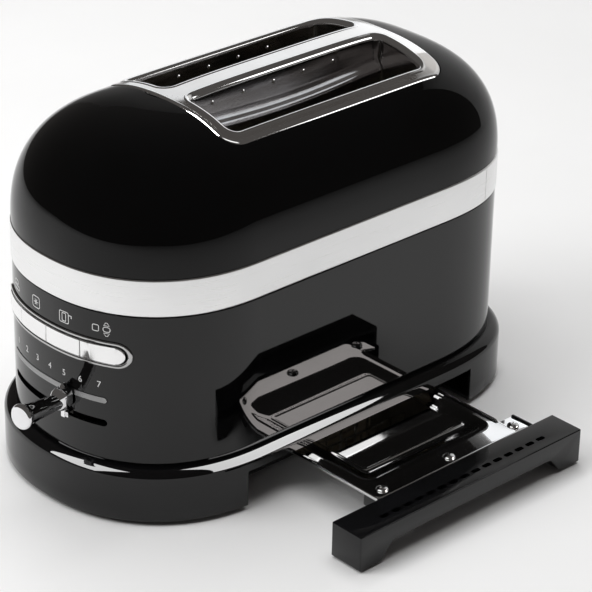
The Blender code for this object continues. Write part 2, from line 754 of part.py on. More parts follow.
def browning_lever():
    """The lever in its middle position, then turned with its empty to where it rests."""
    pivot = empty("browning_axis", (0, LEVER_AXIS_Y, LEVER_SLOT_Z))
    wall = FRONT_Y
    face = wall - LEVER_STANDOFF
    slot_half = LEVER_SLOT_HEIGHT / 2 - STEM_CLEARANCE
    carriage_face = wall + WALL + 3 * MM
    lever = box(
        "browning_lever",
        (-HUB_WIDTH / 2, face - HUB_DEPTH, HUB_LOW_Z),
        (HUB_WIDTH / 2, face, HUB_TOP_Z),
        BLACK_CHROME,
    )
    bevel(lever, 3.0 * MM, 3)
    stem = box(
        "lever_stem",
        (-STEM_WIDTH / 2, face - 4 * MM, LEVER_SLOT_Z - slot_half),
        (STEM_WIDTH / 2, carriage_face, LEVER_SLOT_Z + slot_half),
    )
    neck = box(
        "lever_neck",
        (-STEM_WIDTH / 2 + GAP, face - 4.3 * MM, LEVER_SLOT_Z - slot_half + GAP),
        (STEM_WIDTH / 2 - GAP, face - GAP, HUB_LOW_Z + 4 * MM),
    )
    pointer_base = HUB_TOP_Z - 5 * MM
    pointer = prism(
        "lever_pointer",
        [
            [
                (-3.2 * MM, pointer_base),
                (3.2 * MM, pointer_base),
                (0.7 * MM, POINTER_TOP_Z),
                (-0.7 * MM, POINTER_TOP_Z),
            ]
        ],
        POINTER_DEPTH,
        moved(y=face - POINTER_DEPTH / 2 - GAP) @ UPRIGHT_XZ,
    )
    reach = KNOB_REACH
    profile = [
        (0, reach),
        (KNOB_END_RADIUS - 1.0 * MM, reach),
        (KNOB_END_RADIUS, reach - 0.8 * MM),
        (KNOB_END_RADIUS, reach - 1.6 * MM),
        (KNOB_END_RADIUS - 0.9 * MM, reach - 2.4 * MM),
        (KNOB_ROOT_RADIUS + 0.6 * MM, reach - 14 * MM),
        (KNOB_ROOT_RADIUS, LEVER_STANDOFF + 6 * MM),
        (0, LEVER_STANDOFF + 6 * MM),
    ]
    aim = Matrix.Rotation(math.pi / 2 - KNOB_TILT, 4, "X")
    knob = turned("lever_knob", profile, moved(y=wall, z=KNOB_Z) @ aim, None)
    for piece in (stem, neck, pointer, knob):
        boolean(lever, piece, "UNION")
        hang(piece, pivot)
    carriage = box(
        "slider_carriage",
        (-CARRIAGE_REACH, carriage_face + GAP, LEVER_SLOT_Z - 5 * MM),
        (CARRIAGE_REACH, carriage_face + 4 * MM, LEVER_SLOT_Z + 5 * MM),
        BLACK_PLASTIC,
    )
    hang(lever, pivot)
    hang(carriage, pivot)
    pivot.rotation_euler = (0, 0, LEVER_REST_ANGLE)


def slider_rail():
    """Curved rail behind the panel that the lever's carriage runs against."""
    outline = rounded_box((0, LEVER_SLOT_Z), TRACK_LENGTH + 12 * MM, RAIL_HEIGHT, 1 * MM, 2)
    inner = -(WALL + 10.5 * MM)
    on_front("slider_rail", [outline], inner, inner + 2.0 * MM, STEEL)


def empty(name, place):
    made = bpy.data.objects.new(name, None)
    made.location = place
    made.empty_display_size = 10 * MM
    TOOLS.objects.link(made)
    made.hide_render = True
    return made


def hang(piece, parent):
    """Parent a piece that was built in world space to an empty that isn't turned yet."""
    piece.parent = parent
    piece.matrix_parent_inverse = Matrix.Translation(-parent.location)
    return piece


# ---------------------------------------------------------------- toasting chamber


def chassis(liner_bottom):
    top = liner_bottom - 2 * MM
    low = FLOOR_TOP + GAP
    height = top - low
    outline = rounded_box((0, (top + low) / 2), 2 * CHASSIS_HALF_WIDTH, height, 2 * MM, 2)
    arms = [
        rounded_box(
            (side * SLOT_X, (RACK_LOW_Z + RACK_HIGH_Z) / 2),
            ARM_WIDTH + 2 * MM,
            LIFT_TRAVEL + RACK_THICKNESS + 4 * MM,
            1 * MM,
            1,
        )
        for side in (-1, 1)
    ]
    place = moved(y=CHAMBER_FRONT - SHEET / 2) @ UPRIGHT_XZ
    prism("chassis_front", [outline, *arms], SHEET, place, STEEL)
    prism("chassis_rear", [outline], SHEET, moved(y=CHAMBER_REAR + SHEET / 2) @ UPRIGHT_XZ, STEEL)
    return top


def guide_grille(name, x, top, parent_x):
    """Stamped grille that holds the bread upright: rails above and below, wires between."""
    low = RACK_LOW_Z - 6 * MM
    margin = 1.5 * MM
    length = CHAMBER_REAR - CHAMBER_FRONT - 2 * margin
    middle_y = (CHAMBER_REAR + CHAMBER_FRONT) / 2
    outline = rounded_box((middle_y, (low + top) / 2), length, top - low, 1 * MM, 1)
    count = round((length - GUIDE_WIRE) / GUIDE_PITCH)
    pitch = (length - GUIDE_WIRE) / count
    holes = [
        rounded_box(
            (middle_y - length / 2 + GUIDE_WIRE / 2 + pitch * (i + 0.5), (low + top) / 2),
            pitch - GUIDE_WIRE,
            top - low - 2 * GUIDE_WIRE,
            1 * MM,
            1,
        )
        for i in range(count)
    ]
    grille = prism(name, [outline, *holes], GUIDE_THICKNESS, moved(x=x) @ UPRIGHT_YZ, STEEL)
    hang(grille, empty(name + "_slide", (parent_x, middle_y, (low + top) / 2)))


def bread_guides(chamber_top):
    top = chamber_top - 4 * MM
    for name, side, inward in (
        ("bread_guide_left_outer", -1, 1),
        ("bread_guide_left_inner", -1, -1),
        ("bread_guide_right_inner", 1, 1),
        ("bread_guide_right_outer", 1, -1),
    ):
        x = side * SLOT_X - inward * GUIDE_REST
        guide_grille(name, x, top, x)


def heater(name, x, facing, chamber_top):
    """A mica card with its winding laid in rows on the side that faces the bread."""
    low, high = RACK_LOW_Z - 4 * MM, chamber_top - 6 * MM
    near, far = CHAMBER_FRONT + GAP, CHAMBER_REAR - GAP
    half = CARD_THICKNESS / 2
    box(name + "_card", (x - half, near, low), (x + half, far, high), MICA)
    rows_x = x + facing * (half + WINDING_RADIUS + GAP)
    margin = 8 * MM
    points = []
    for row in range(WINDING_ROWS):
        z = low + margin + (high - low - 2 * margin) * row / (WINDING_ROWS - 1)
        ends = (near + margin, far - margin)
        points += [(rows_x, y, z) for y in (ends if row % 2 == 0 else ends[::-1])]
    tube(name + "_winding", points, WINDING_RADIUS, NICHROME)


def heaters(chamber_top):
    outer_x = SLOT_X + GUIDE_REST + CARD_TO_GUIDE
    for name, x, facing in (
        ("heater_left_outer", -outer_x, 1),
        ("heater_left_inner", -INNER_CARD_X, -1),
        ("heater_right_inner", INNER_CARD_X, 1),
        ("heater_right_outer", outer_x, -1),
    ):
        heater(name, x, facing, chamber_top)


# ---------------------------------------------------------------- lift


def bread_racks():
    """Combs that carry the bread, each with an arm through the front chassis plate."""
    start = CARRIAGE_BACK + GAP
    end = CHAMBER_REAR - 4 * MM
    first = CHAMBER_FRONT + 8 * MM
    pitch = GUIDE_PITCH / 2
    half = ARM_WIDTH / 2
    slide = bpy.data.objects["lift_slide"]
    for side, name in ((-1, "bread_rack_left"), (1, "bread_rack_right")):
        right, y = [], first
        while y + TINE_WIDTH < end:
            right += [(half, y), (TINE_REACH, y), (TINE_REACH, y + TINE_WIDTH), (half, y + TINE_WIDTH)]
            y += pitch
        left = [(-x, y) for x, y in right[::-1]]
        outline = [(half, start), *right, (half, end), (-half, end), *left, (-half, start)]
        rack = prism(
            name, [outline], RACK_THICKNESS, moved(x=side * SLOT_X, z=RACK_HIGH_Z), STEEL
        )
        hang(rack, slide)


def lift_carriage():
    """Cross bar behind the panel that carries both racks, with a toothed bar for the pinion."""
    slide = empty("lift_slide", (0, ROD_Y, RACK_HIGH_Z))
    low = RACK_HIGH_Z - CARRIAGE_HEIGHT / 2
    high = RACK_HIGH_Z + CARRIAGE_HEIGHT / 2
    reach = SLOT_X + ARM_WIDTH
    carriage = box(
        "lift_carriage", (-reach, CARRIAGE_FRONT, low), (reach, CARRIAGE_BACK, high), BLACK_PLASTIC
    )
    for side in (-1, 1):
        bore = cylinder(
            f"rod_bore_{side}",
            ROD_RADIUS + ROD_CLEARANCE,
            4 * CARRIAGE_HEIGHT,
            (side * ROD_SPACING / 2, ROD_Y, RACK_HIGH_Z),
        )
        boolean(carriage, bore, "DIFFERENCE")
        hang(bore, slide)
    below = RACK_HIGH_Z - PINION_Z + 2 * TOOTH_PITCH
    teeth = math.ceil((LIFT_TRAVEL + 4 * TOOTH_PITCH) / TOOTH_PITCH)
    outline = rack_outline(teeth, RACK_HIGH_Z - below)
    bar = prism(
        "toothed_bar",
        [outline],
        RACK_GEAR_WIDTH + BAR_OVERLAP,
        moved(y=GEAR_MIDDLE_Y + BAR_OVERLAP / 2) @ UPRIGHT_XZ,
    )
    boolean(carriage, bar, "UNION")
    hang(bar, slide)
    hang(carriage, slide)


def rack_outline(teeth, bottom):
    """Bar along Z with trapezoid teeth towards +X; the pitch line is x = 0."""
    root, tip = -TOOTH_HEIGHT / 2, TOOTH_HEIGHT / 2
    back = root - RACK_BACK
    points = []
    for i in range(teeth):
        z = bottom + i * TOOTH_PITCH
        points += [
            (root, z + 0.05 * TOOTH_PITCH),
            (tip, z + 0.3 * TOOTH_PITCH),
            (tip, z + 0.5 * TOOTH_PITCH),
            (root, z + 0.75 * TOOTH_PITCH),
        ]
    top = bottom + teeth * TOOTH_PITCH
    return [(back, bottom), (root, bottom), *points, (root, top), (back, top)]


def pinion_axis_x():
    return PINION_RADIUS + 0.4 * MM


def lift_pinion():
    """Gear on the motor's shaft, turned so that its teeth stand between those of the bar."""
    outer = PINION_RADIUS + TOOTH_HEIGHT / 2 - 0.1 * MM
    root = PINION_RADIUS - TOOTH_HEIGHT / 2 - 0.1 * MM
    step = 2 * math.pi / PINION_TEETH
    below = RACK_HIGH_Z - PINION_Z + 2 * TOOTH_PITCH
    bottom = RACK_HIGH_Z - below
    tooth = (PINION_Z - bottom) / TOOTH_PITCH
    phase = (math.floor(tooth) + 0.9 - tooth) * step
    outline = []
    for i in range(PINION_TEETH):
        middle = math.pi - phase + i * step
        for radius, share in ((root, -0.3), (outer, -0.1), (outer, 0.1), (root, 0.3)):
            angle = middle + share * step
            outline.append((radius * math.cos(angle), radius * math.sin(angle)))
    centre = (pinion_axis_x(), GEAR_MIDDLE_Y - 0.3 * MM, PINION_Z)
    bore = arc((0, 0), SHAFT_RADIUS + GAP, 0, 345, 23)
    width = RACK_GEAR_WIDTH - 0.8 * MM
    pinion = prism("lift_pinion", [outline, bore], width, moved(*centre) @ UPRIGHT_XZ, BLACK_PLASTIC)
    hang(pinion, empty("pinion_axis", centre))


def lift_motor():
    x = pinion_axis_x()
    plate_y = GEAR_MIDDLE_Y - RACK_GEAR_WIDTH / 2 - 2.5 * MM
    reach = SLOT_X + ARM_WIDTH + 6 * MM
    plate = box(
        "motor_plate",
        (-reach, plate_y - SHEET, PINION_Z - 14 * MM),
        (reach, plate_y, PINION_Z + 14 * MM),
        STEEL,
    )
    for side in (-1, 1):
        inner, outer = sorted((side * reach, side * (reach - 1.5 * MM)))
        leg = box(
            f"plate_leg_{side}",
            (inner, plate_y - SHEET / 2, PINION_Z - 10 * MM),
            (outer, CHAMBER_FRONT - SHEET - GAP, PINION_Z + 10 * MM),
        )
        boolean(plate, leg, "UNION")
    hole = cylinder(
        "shaft_hole", SHAFT_RADIUS + 1 * MM, 20 * MM, (x, plate_y, PINION_Z), UPRIGHT_XZ, sides=16
    )
    boolean(plate, hole, "DIFFERENCE")
    face = plate_y - SHEET - GAP
    profile = [
        (0, MOTOR_LENGTH),
        (MOTOR_RADIUS - 1 * MM, MOTOR_LENGTH),
        (MOTOR_RADIUS, MOTOR_LENGTH - 1 * MM),
        (MOTOR_RADIUS, 0),
        (SHAFT_RADIUS, 0),
        (SHAFT_RADIUS, face - (CARRIAGE_FRONT - GAP)),
        (0, face - (CARRIAGE_FRONT - GAP)),
    ]
    turned("lift_motor", profile, moved(x, face, PINION_Z) @ UPRIGHT_XZ, STEEL, 20)


def guide_rods(chamber_top):
    plate_height = 1.5 * MM
    low = RACK_LOW_Z - CARRIAGE_HEIGHT / 2 - 8 * MM
    high = chamber_top - 1 * MM
    near = ROD_Y - ROD_RADIUS - 0.6 * MM
    far = CHAMBER_FRONT - SHEET - GAP
    length, middle_y = far - near, (far + near) / 2
    for name, z in (("lower_rod_bracket", low), ("upper_rod_bracket", high)):
        outline = rounded_box((0, middle_y), ROD_SPACING + 12 * MM, length, 0.5 * MM, 1)
        bores = [
            arc((side * ROD_SPACING / 2, ROD_Y), ROD_RADIUS + GAP, 0, 345, 23) for side in (-1, 1)
        ]
        prism(name, [outline, *bores], plate_height, moved(z=z - plate_height / 2), STEEL)
    for side, name in ((-1, "guide_rod_left"), (1, "guide_rod_right")):
        cylinder(
            name,
            ROD_RADIUS,
            high - low + 4 * MM,
            (side * ROD_SPACING / 2, ROD_Y, (high + low) / 2),
            finish=STEEL,
            sides=16,
        )


# ---------------------------------------------------------------- crumb tray


def pan_ring(inset_rear, inset_front, inset_low, inset_high, z, radius):
    low_x, high_x = PAN_REAR_X + inset_rear, PAN_FRONT_X - inset_front
    low_y, high_y = PAN_LOW_Y + inset_low, PAN_HIGH_Y - inset_high
    centre = ((low_x + high_x) / 2, (low_y + high_y) / 2)
    return ring_at(rounded_box(centre, high_x - low_x, high_y - low_y, radius, 3), z)


def screw_places():
    """Plan positions of the three screws that hold the pan to its handle."""
    x = PAN_FRONT_X - SCREW_SETBACK + PAN_LIP
    first = PAN_LOW_Y + SCREW_MARGIN
    last = PAN_HIGH_Y + WING_REACH - SCREW_MARGIN
    return [(x, first + (last - first) * i / 2) for i in range(3)]


def crumb_tray(slide):
    """Dished sheet-metal pan with a level rim, a turned-up edge and a wider lip at the handle."""
    rings = [
        pan_ring(0, 0, 0, 0, PAN_TOP, 3 * MM),
        pan_ring(5 * MM, 12 * MM, 5 * MM, 5 * MM, PAN_TOP, 9 * MM),
        pan_ring(14 * MM, 30 * MM, 18.5 * MM, 10.5 * MM, PAN_TOP - PAN_DEPTH, 2 * MM),
    ]
    pan = skin("crumb_tray", rings, PAN_SHEET, CHROME, close_top=True)
    middle = PAN_TOP - PAN_SHEET / 2
    wing = box(
        "tray_wing",
        (PAN_FRONT_X - WING_LENGTH, PAN_HIGH_Y - 3 * MM, middle - 0.25 * MM),
        (PAN_FRONT_X - 0.2 * MM, PAN_HIGH_Y + WING_REACH, middle + 0.25 * MM),
    )
    rim_end = PAN_FRONT_X - WING_LENGTH + 2 * MM
    length = rim_end - PAN_REAR_X - 4 * MM
    rim_outline = rounded_box(
        (rim_end - length / 2, middle + PAN_RIM / 2), length, PAN_RIM + 0.4 * MM, 1.2 * MM, 3
    )
    rim = prism(
        "tray_rim", [rim_outline], PAN_SHEET, moved(y=PAN_HIGH_Y - 1.2 * MM) @ UPRIGHT_XZ
    )
    for piece in (wing, rim):
        boolean(pan, piece, "UNION")
        hang(piece, slide)
    for index, (x, y) in enumerate(screw_places()):
        hole = cylinder(f"pan_hole_{index}", SCREW_SHAFT_RADIUS + GAP, 10 * MM, (x, y, PAN_TOP), sides=16)
        boolean(pan, hole, "DIFFERENCE")
        hang(hole, slide)
    hang(pan, slide)


def arch_outline():
    """Underside relief of the handle: two eased shoulders rising to a level arch."""
    half = HANDLE_LENGTH / 2 - ARCH_LEG
    points = []
    for step in range(9):
        share = step / 8
        rise = 0.5 - 0.5 * math.cos(math.pi * share)
        points.append((half - ARCH_EASE * share, ARCH_RISE * rise))
    right = [(half, -20 * MM), *points]
    left = [(-y, z) for y, z in right[::-1]]
    return [(HANDLE_CENTRE_Y + y, HANDLE_BOTTOM + z) for y, z in right + left]


def tray_handle(slide):
    low_y, high_y = HANDLE_CENTRE_Y - HANDLE_LENGTH / 2, HANDLE_CENTRE_Y + HANDLE_LENGTH / 2
    handle = box(
        "tray_handle", (HANDLE_INNER, low_y, HANDLE_BOTTOM), (HANDLE_OUTER, high_y, HANDLE_TOP), GLOSS_BLACK
    )
    bevel(handle, 0.8 * MM, 1)
    middle_x = (HANDLE_INNER + HANDLE_OUTER) / 2
    arch = prism("handle_arch", [arch_outline()], HANDLE_DEPTH * 2, moved(x=middle_x) @ UPRIGHT_YZ)
    pocket = box(
        "handle_pocket",
        (HANDLE_INNER - 5 * MM, low_y + HANDLE_WALL, HANDLE_BOTTOM + ARCH_RISE + HANDLE_WALL),
        (HANDLE_OUTER - HANDLE_WALL, high_y - HANDLE_WALL, HANDLE_TOP - HANDLE_WALL),
    )
    cuts = [arch, pocket]
    for index in range(VENT_COUNT):
        y = HANDLE_CENTRE_Y + (index - (VENT_COUNT - 1) / 2) * VENT_PITCH
        outline = rounded_box((HANDLE_OUTER - VENT_SETBACK, y), VENT_WIDTH, VENT_LENGTH, 1.0 * MM, 1)
        cuts.append(prism(f"vent_{index}", [outline], 3 * HANDLE_WALL, moved(z=HANDLE_TOP)))
    for piece in cuts:
        boolean(handle, piece, "DIFFERENCE")
        hang(piece, slide)
    boss_top = PAN_TOP - PAN_SHEET - GAP
    additions = []
    for index, (x, y) in enumerate(screw_places()):
        additions.append(
            box(
                f"screw_boss_{index}",
                (x - 4.5 * MM, y - 4.5 * MM, HANDLE_BOTTOM + ARCH_RISE + 0.4 * MM),
                (HANDLE_INNER + 4 * MM, y + 4.5 * MM, boss_top),
            )
        )
    wing_end = PAN_HIGH_Y + WING_REACH
    arms = (
        ("arm_low", PAN_LOW_Y + 3 * MM, PAN_LOW_Y + 6.5 * MM, boss_top - 0.7 * MM),
        ("arm_high", wing_end + 0.4 * MM, wing_end + 2.4 * MM, PAN_TOP + 0.6 * MM),
    )
    for name, near, far, top in arms:
        additions.append(
            box(name, (HANDLE_INNER - 16 * MM, near, ARM_BOTTOM), (HANDLE_INNER + 1.6 * MM, far, top))
        )
    for piece in additions:
        boolean(handle, piece, "UNION")
        hang(piece, slide)
    for index, (x, y) in enumerate(screw_places()):
        hole = cylinder(
            f"boss_hole_{index}", SCREW_SHAFT_RADIUS + GAP, 12 * MM, (x, y, boss_top), sides=16
        )
        boolean(handle, hole, "DIFFERENCE")
        hang(hole, slide)
    hang(handle, slide)


def tray_screws(slide):
    seat = PAN_TOP + GAP
    profile = [
        (0, 2.0 * MM),
        (SCREW_HEAD_RADIUS * 0.55, 1.8 * MM),
        (SCREW_HEAD_RADIUS, 0.9 * MM),
        (SCREW_HEAD_RADIUS, 0),
        (SCREW_SHAFT_RADIUS, 0),
        (SCREW_SHAFT_RADIUS, -6 * MM),
        (0, -6 * MM),
    ]
    for index, (x, y) in enumerate(screw_places(), 1):
        hang(turned(f"tray_screw_{index}", profile, moved(x, y, seat), STEEL, 16), slide)


def tray_rails():
    """Angle rails on the bottom plate that carry the pan's level rim."""
    low, ledge = FLOOR_TOP + GAP, PAN_TOP - PAN_SHEET - GAP
    start = PAN_REAR_X - TRAY_PULL
    length = RAIL_END_X - start
    place = moved(x=start + length / 2) @ UPRIGHT_YZ
    near = PAN_LOW_Y - GAP
    front = [
        (near - 3 * MM, low),
        (near + 2.2 * MM, low),
        (near + 2.2 * MM, ledge),
        (near, ledge),
        (near, ledge + 2 * MM),
        (near - 3 * MM, ledge + 2 * MM),
    ]
    prism("tray_rail_front", [front], length, place, BLACK_PLASTIC)
    far = PAN_HIGH_Y - 2.5 * MM
    rear = [(far, low), (far + 4 * MM, low), (far + 4 * MM, ledge), (far, ledge)]
    prism("tray_rail_rear", [rear], length, place, BLACK_PLASTIC)


# ---------------------------------------------------------------- supply


def supply():
    profile = [
        (0, 4 * MM),
        (GLAND_RADIUS - 1 * MM, 4 * MM),
        (GLAND_RADIUS + 2 * MM, 2.4 * MM),
        (GLAND_RADIUS + 2 * MM, GAP),
        (GLAND_RADIUS, GAP),
        (GLAND_RADIUS, -WALL - 4 * MM),
        (0, -WALL - 4 * MM),
    ]
    backwards = Matrix.Rotation(-math.pi / 2, 4, "X")
    place = moved(y=BODY_LENGTH / 2, z=GLAND_Z) @ backwards
    turned("cord_gland", profile, place, RUBBER, 20)
    y = CHAMBER_REAR + SHEET + 14 * MM
    box(
        "power_board",
        (-38 * MM, y, PLINTH_TOP + 14 * MM),
        (38 * MM, y + BOARD_THICKNESS, PLINTH_TOP + 66 * MM),
        BOARD_GREEN,
    )


def build():
    upper_shell()
    slot_frame()
    liner_bottom = slot_liners()
    trim_band()
    lower_shell()
    base_plinth()
    bottom_plate()
    feet()
    control_bezel()
    buttons()
    control_board()
    browning_track()
    browning_lever()
    slider_rail()
    chamber_top = chassis(liner_bottom)
    bread_guides(chamber_top)
    heaters(chamber_top)
    lift_carriage()
    bread_racks()
    lift_pinion()
    lift_motor()
    guide_rods(chamber_top)
    slide = empty("tray_slide", (HANDLE_INNER, HANDLE_CENTRE_Y, PAN_TOP))
    crumb_tray(slide)
    tray_handle(slide)
    tray_screws(slide)
    tray_rails()
    supply()


build()
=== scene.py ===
import json
import math

import bmesh
import bpy
import numpy as np
from mathutils import Matrix, Vector

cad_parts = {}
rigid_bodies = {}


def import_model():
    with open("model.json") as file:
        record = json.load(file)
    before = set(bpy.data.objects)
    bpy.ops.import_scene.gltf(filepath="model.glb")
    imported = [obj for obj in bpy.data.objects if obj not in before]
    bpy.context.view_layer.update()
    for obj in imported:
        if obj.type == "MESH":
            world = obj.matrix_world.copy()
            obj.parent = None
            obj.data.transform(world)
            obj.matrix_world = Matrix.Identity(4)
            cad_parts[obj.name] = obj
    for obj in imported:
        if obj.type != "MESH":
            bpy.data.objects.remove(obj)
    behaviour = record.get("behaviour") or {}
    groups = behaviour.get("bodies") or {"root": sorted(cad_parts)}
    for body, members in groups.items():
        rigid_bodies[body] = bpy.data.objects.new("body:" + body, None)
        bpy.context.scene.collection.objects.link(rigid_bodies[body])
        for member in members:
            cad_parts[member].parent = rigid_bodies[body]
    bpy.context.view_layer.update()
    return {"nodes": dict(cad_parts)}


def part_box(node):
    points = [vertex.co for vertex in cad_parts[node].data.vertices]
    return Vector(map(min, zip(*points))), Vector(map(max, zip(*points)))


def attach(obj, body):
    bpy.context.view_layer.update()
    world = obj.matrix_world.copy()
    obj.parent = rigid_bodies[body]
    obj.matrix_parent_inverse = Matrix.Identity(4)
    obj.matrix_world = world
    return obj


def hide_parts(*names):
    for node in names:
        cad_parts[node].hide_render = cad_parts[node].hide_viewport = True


# Looks of a two-slot pop-up toaster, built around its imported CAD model.
# Metres, +Z up, control panel towards -Y, crumb tray drawn out towards +X.

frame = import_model()
MM = 0.001

# Shape of the body's outline and dome; the places and sizes come from the frame
FRONT_SHARE = 79.5 / 296.0
FRONT_POWER = 2.21
REAR_SHARE = 82.3 / 296.0
REAR_POWER = 2.73
DOME_POWER = 2.48
END_STEPS = 72
WALL = 2.4 * MM

WALL_LOW, WALL_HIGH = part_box("lower_shell")
DOME_LOW, DOME_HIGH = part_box("upper_shell")
BAND_LOW, BAND_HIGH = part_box("trim_band")
REAR_BAND_LOW, REAR_BAND_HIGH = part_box("rear_trim_band")
PLINTH_LOW, PLINTH_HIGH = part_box("base_plinth")
FRAME_LOW, FRAME_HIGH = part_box("slot_frame")
BEZEL_LOW, BEZEL_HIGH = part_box("control_bezel")
TRACK_LOW, TRACK_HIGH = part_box("browning_track")
PAN_LOW, PAN_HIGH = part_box("crumb_tray")
HANDLE_LOW, HANDLE_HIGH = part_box("tray_handle")
LINER_LOW, LINER_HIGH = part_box("slot_liner_right")

HALF_WIDTH = WALL_HIGH.x
BODY_LENGTH = WALL_HIGH.y - WALL_LOW.y
FRONT_DEPTH = BODY_LENGTH * FRONT_SHARE
REAR_DEPTH = BODY_LENGTH * REAR_SHARE
FRONT_Y0 = WALL_LOW.y + FRONT_DEPTH
REAR_Y0 = WALL_HIGH.y - REAR_DEPTH
DOME_TOP = 209.1 * MM


def in_mm(pairs):
    """Pairs of lengths given in millimetres, in metres."""
    return [(a * MM, b * MM) for a, b in pairs]


# ---------------------------------------------------------------- materials


class Nodes:
    """Short hand for wiring a node material."""

    def __init__(self, name):
        self.material = bpy.data.materials.new(name)
        self.material.use_nodes = True
        self.tree = self.material.node_tree
        self.shader = self.tree.nodes["Principled BSDF"]
        self.place = self.add("ShaderNodeTexCoord").outputs["Object"]

    def add(self, kind, **values):
        node = self.tree.nodes.new(kind)
        for key, value in values.items():
            setattr(node, key, value)
        return node

    def link(self, source, target):
        self.tree.links.new(source, target)

    def mapped(self, stretch):
        node = self.add("ShaderNodeMapping")
        node.inputs["Scale"].default_value = stretch
        self.link(self.place, node.inputs["Vector"])
        return node.outputs["Vector"]

    def noise(self, scale, stretch=(1, 1, 1), detail=4.0, rough=0.55):
        node = self.add("ShaderNodeTexNoise")
        node.inputs["Scale"].default_value = scale
        node.inputs["Detail"].default_value = detail
        node.inputs["Roughness"].default_value = rough
        self.link(self.mapped(stretch), node.inputs["Vector"])
        return node.outputs["Fac"]

    def ramp(self, source, low, high):
        """Colours or numbers spread over the middle of a noise's range."""
        if isinstance(low, tuple):
            node = self.add("ShaderNodeValToRGB")
            node.color_ramp.elements[0].position = 0.3
            node.color_ramp.elements[1].position = 0.7
            node.color_ramp.elements[0].color = (*low, 1)
            node.color_ramp.elements[1].color = (*high, 1)
            self.link(source, node.inputs["Fac"])
            return node.outputs["Color"]
        node = self.add("ShaderNodeMapRange")
        for key, value in (("From Min", 0.3), ("From Max", 0.7), ("To Min", low), ("To Max", high)):
            node.inputs[key].default_value = value
        self.link(source, node.inputs["Value"])
        return node.outputs["Result"]

    def bump(self, source, distance, strength=1.0, under=None):
        node = self.add("ShaderNodeBump")
        node.inputs["Distance"].default_value = distance
        node.inputs["Strength"].default_value = strength
        self.link(source, node.inputs["Height"])
        if under is not None:
            self.link(under, node.inputs["Normal"])
        return node.outputs["Normal"]

    def set(self, **values):
        for key, value in values.items():
            self.shader.inputs[key.replace("_", " ")].default_value = value


def finish(name, low, high, rough, metallic=0.0, scale=60.0, stretch=(1, 1, 1), bump=0.02 * MM,
           fine=900.0, fine_stretch=(1, 1, 1), fine_bump=0.0, **settings):
    """A material whose colour, roughness and relief drift between two values."""
    n = Nodes(name)
    drift = n.noise(scale, stretch)
    grain = n.noise(fine, fine_stretch, detail=2.0)
    n.link(n.ramp(drift, low, high), n.shader.inputs["Base Color"])
    n.link(n.ramp(grain if fine_bump else drift, *rough), n.shader.inputs["Roughness"])
    normal = n.bump(drift, bump)
    if fine_bump:
        normal = n.bump(grain, fine_bump, under=normal)
    n.link(normal, n.shader.inputs["Normal"])
    n.set(Metallic=metallic, **settings)
    return n.material


def grey(value, warm=0.0):
    return (value * (1 + warm), value, value * (1 - warm))


GLOSS = dict(IOR=1.45)
WALL_ENAMEL = finish("gloss_black_enamel", grey(0.0012), (0.002, 0.002, 0.0024), (0.015, 0.035), scale=14,
                     bump=0.004 * MM, fine=260, fine_bump=0.0006 * MM, **GLOSS)
DOME_ENAMEL = finish("gloss_black_dome", grey(0.0008), (0.0014, 0.0014, 0.0016), (0.015, 0.035), scale=14,
                     bump=0.004 * MM, fine=260, fine_bump=0.0006 * MM, Specular_IOR_Level=0.3, **GLOSS)
PLINTH_BLACK = finish("gloss_black_plinth", grey(0.0012), (0.002, 0.002, 0.0024), (0.02, 0.04), scale=18,
                      bump=0.004 * MM, fine=300, fine_bump=0.0008 * MM, **GLOSS)
HANDLE_BLACK = finish("gloss_black_handle", grey(0.002), (0.0035, 0.0035, 0.004), (0.03, 0.07), scale=30,
                      bump=0.004 * MM, fine=400, fine_bump=0.001 * MM, **GLOSS)
BAND_SILVER = finish("brushed_band", grey(0.76), grey(0.84), (0.2, 0.28), 1.0, scale=9, stretch=(1, 1, 3),
                     bump=0.0, fine=1.0, fine_stretch=(25, 25, 2600), fine_bump=0.0012 * MM)
KEY_SILVER = finish("brushed_keys", grey(0.84), grey(0.9), (0.14, 0.2), 1.0, scale=30,
                    bump=0.0, fine=1.0, fine_stretch=(60, 60, 3400), fine_bump=0.0012 * MM)
TRACK_SILVER = finish("brushed_track", grey(0.24), grey(0.32), (0.24, 0.38), 1.0, scale=40,
                      bump=0.0, fine=1.0, fine_stretch=(80, 80, 3000), fine_bump=0.001 * MM)
BEZEL_CHROME = finish("bezel_chrome", grey(0.42), grey(0.52), (0.06, 0.12), 1.0, scale=30,
                      bump=0.004 * MM, fine=500, fine_bump=0.0006 * MM)
CHROME = finish("polished_chrome", (0.74, 0.73, 0.72), (0.84, 0.84, 0.84), (0.03, 0.08), 1.0, scale=22,
                bump=0.012 * MM, fine=500, fine_bump=0.0006 * MM)
FRAME_CHROME = finish("frame_chrome", (0.66, 0.64, 0.62), (0.78, 0.77, 0.76), (0.05, 0.12), 1.0, scale=16,
                      bump=0.01 * MM, fine=500, fine_bump=0.0008 * MM)
LINER_STEEL = finish("liner_steel", (0.66, 0.64, 0.63), (0.82, 0.81, 0.82), (0.1, 0.18), 1.0, scale=40,
                     bump=0.03 * MM, fine=1.0, fine_stretch=(40, 40, 900), fine_bump=0.002 * MM)
PAN_STEEL = finish("mirror_steel", (0.72, 0.72, 0.72), (0.82, 0.82, 0.82), (0.03, 0.07), 1.0, scale=26,
                   bump=0.02 * MM, fine=600, fine_bump=0.0008 * MM)
SMOKED = finish("smoked_chrome", (0.78, 0.78, 0.79), (0.86, 0.86, 0.87), (0.02, 0.05), 1.0, scale=60,
                bump=0.006 * MM)
WIRE = finish("nickel_wire", (0.56, 0.55, 0.53), (0.7, 0.69, 0.67), (0.16, 0.3), 1.0, scale=120,
              bump=0.02 * MM)
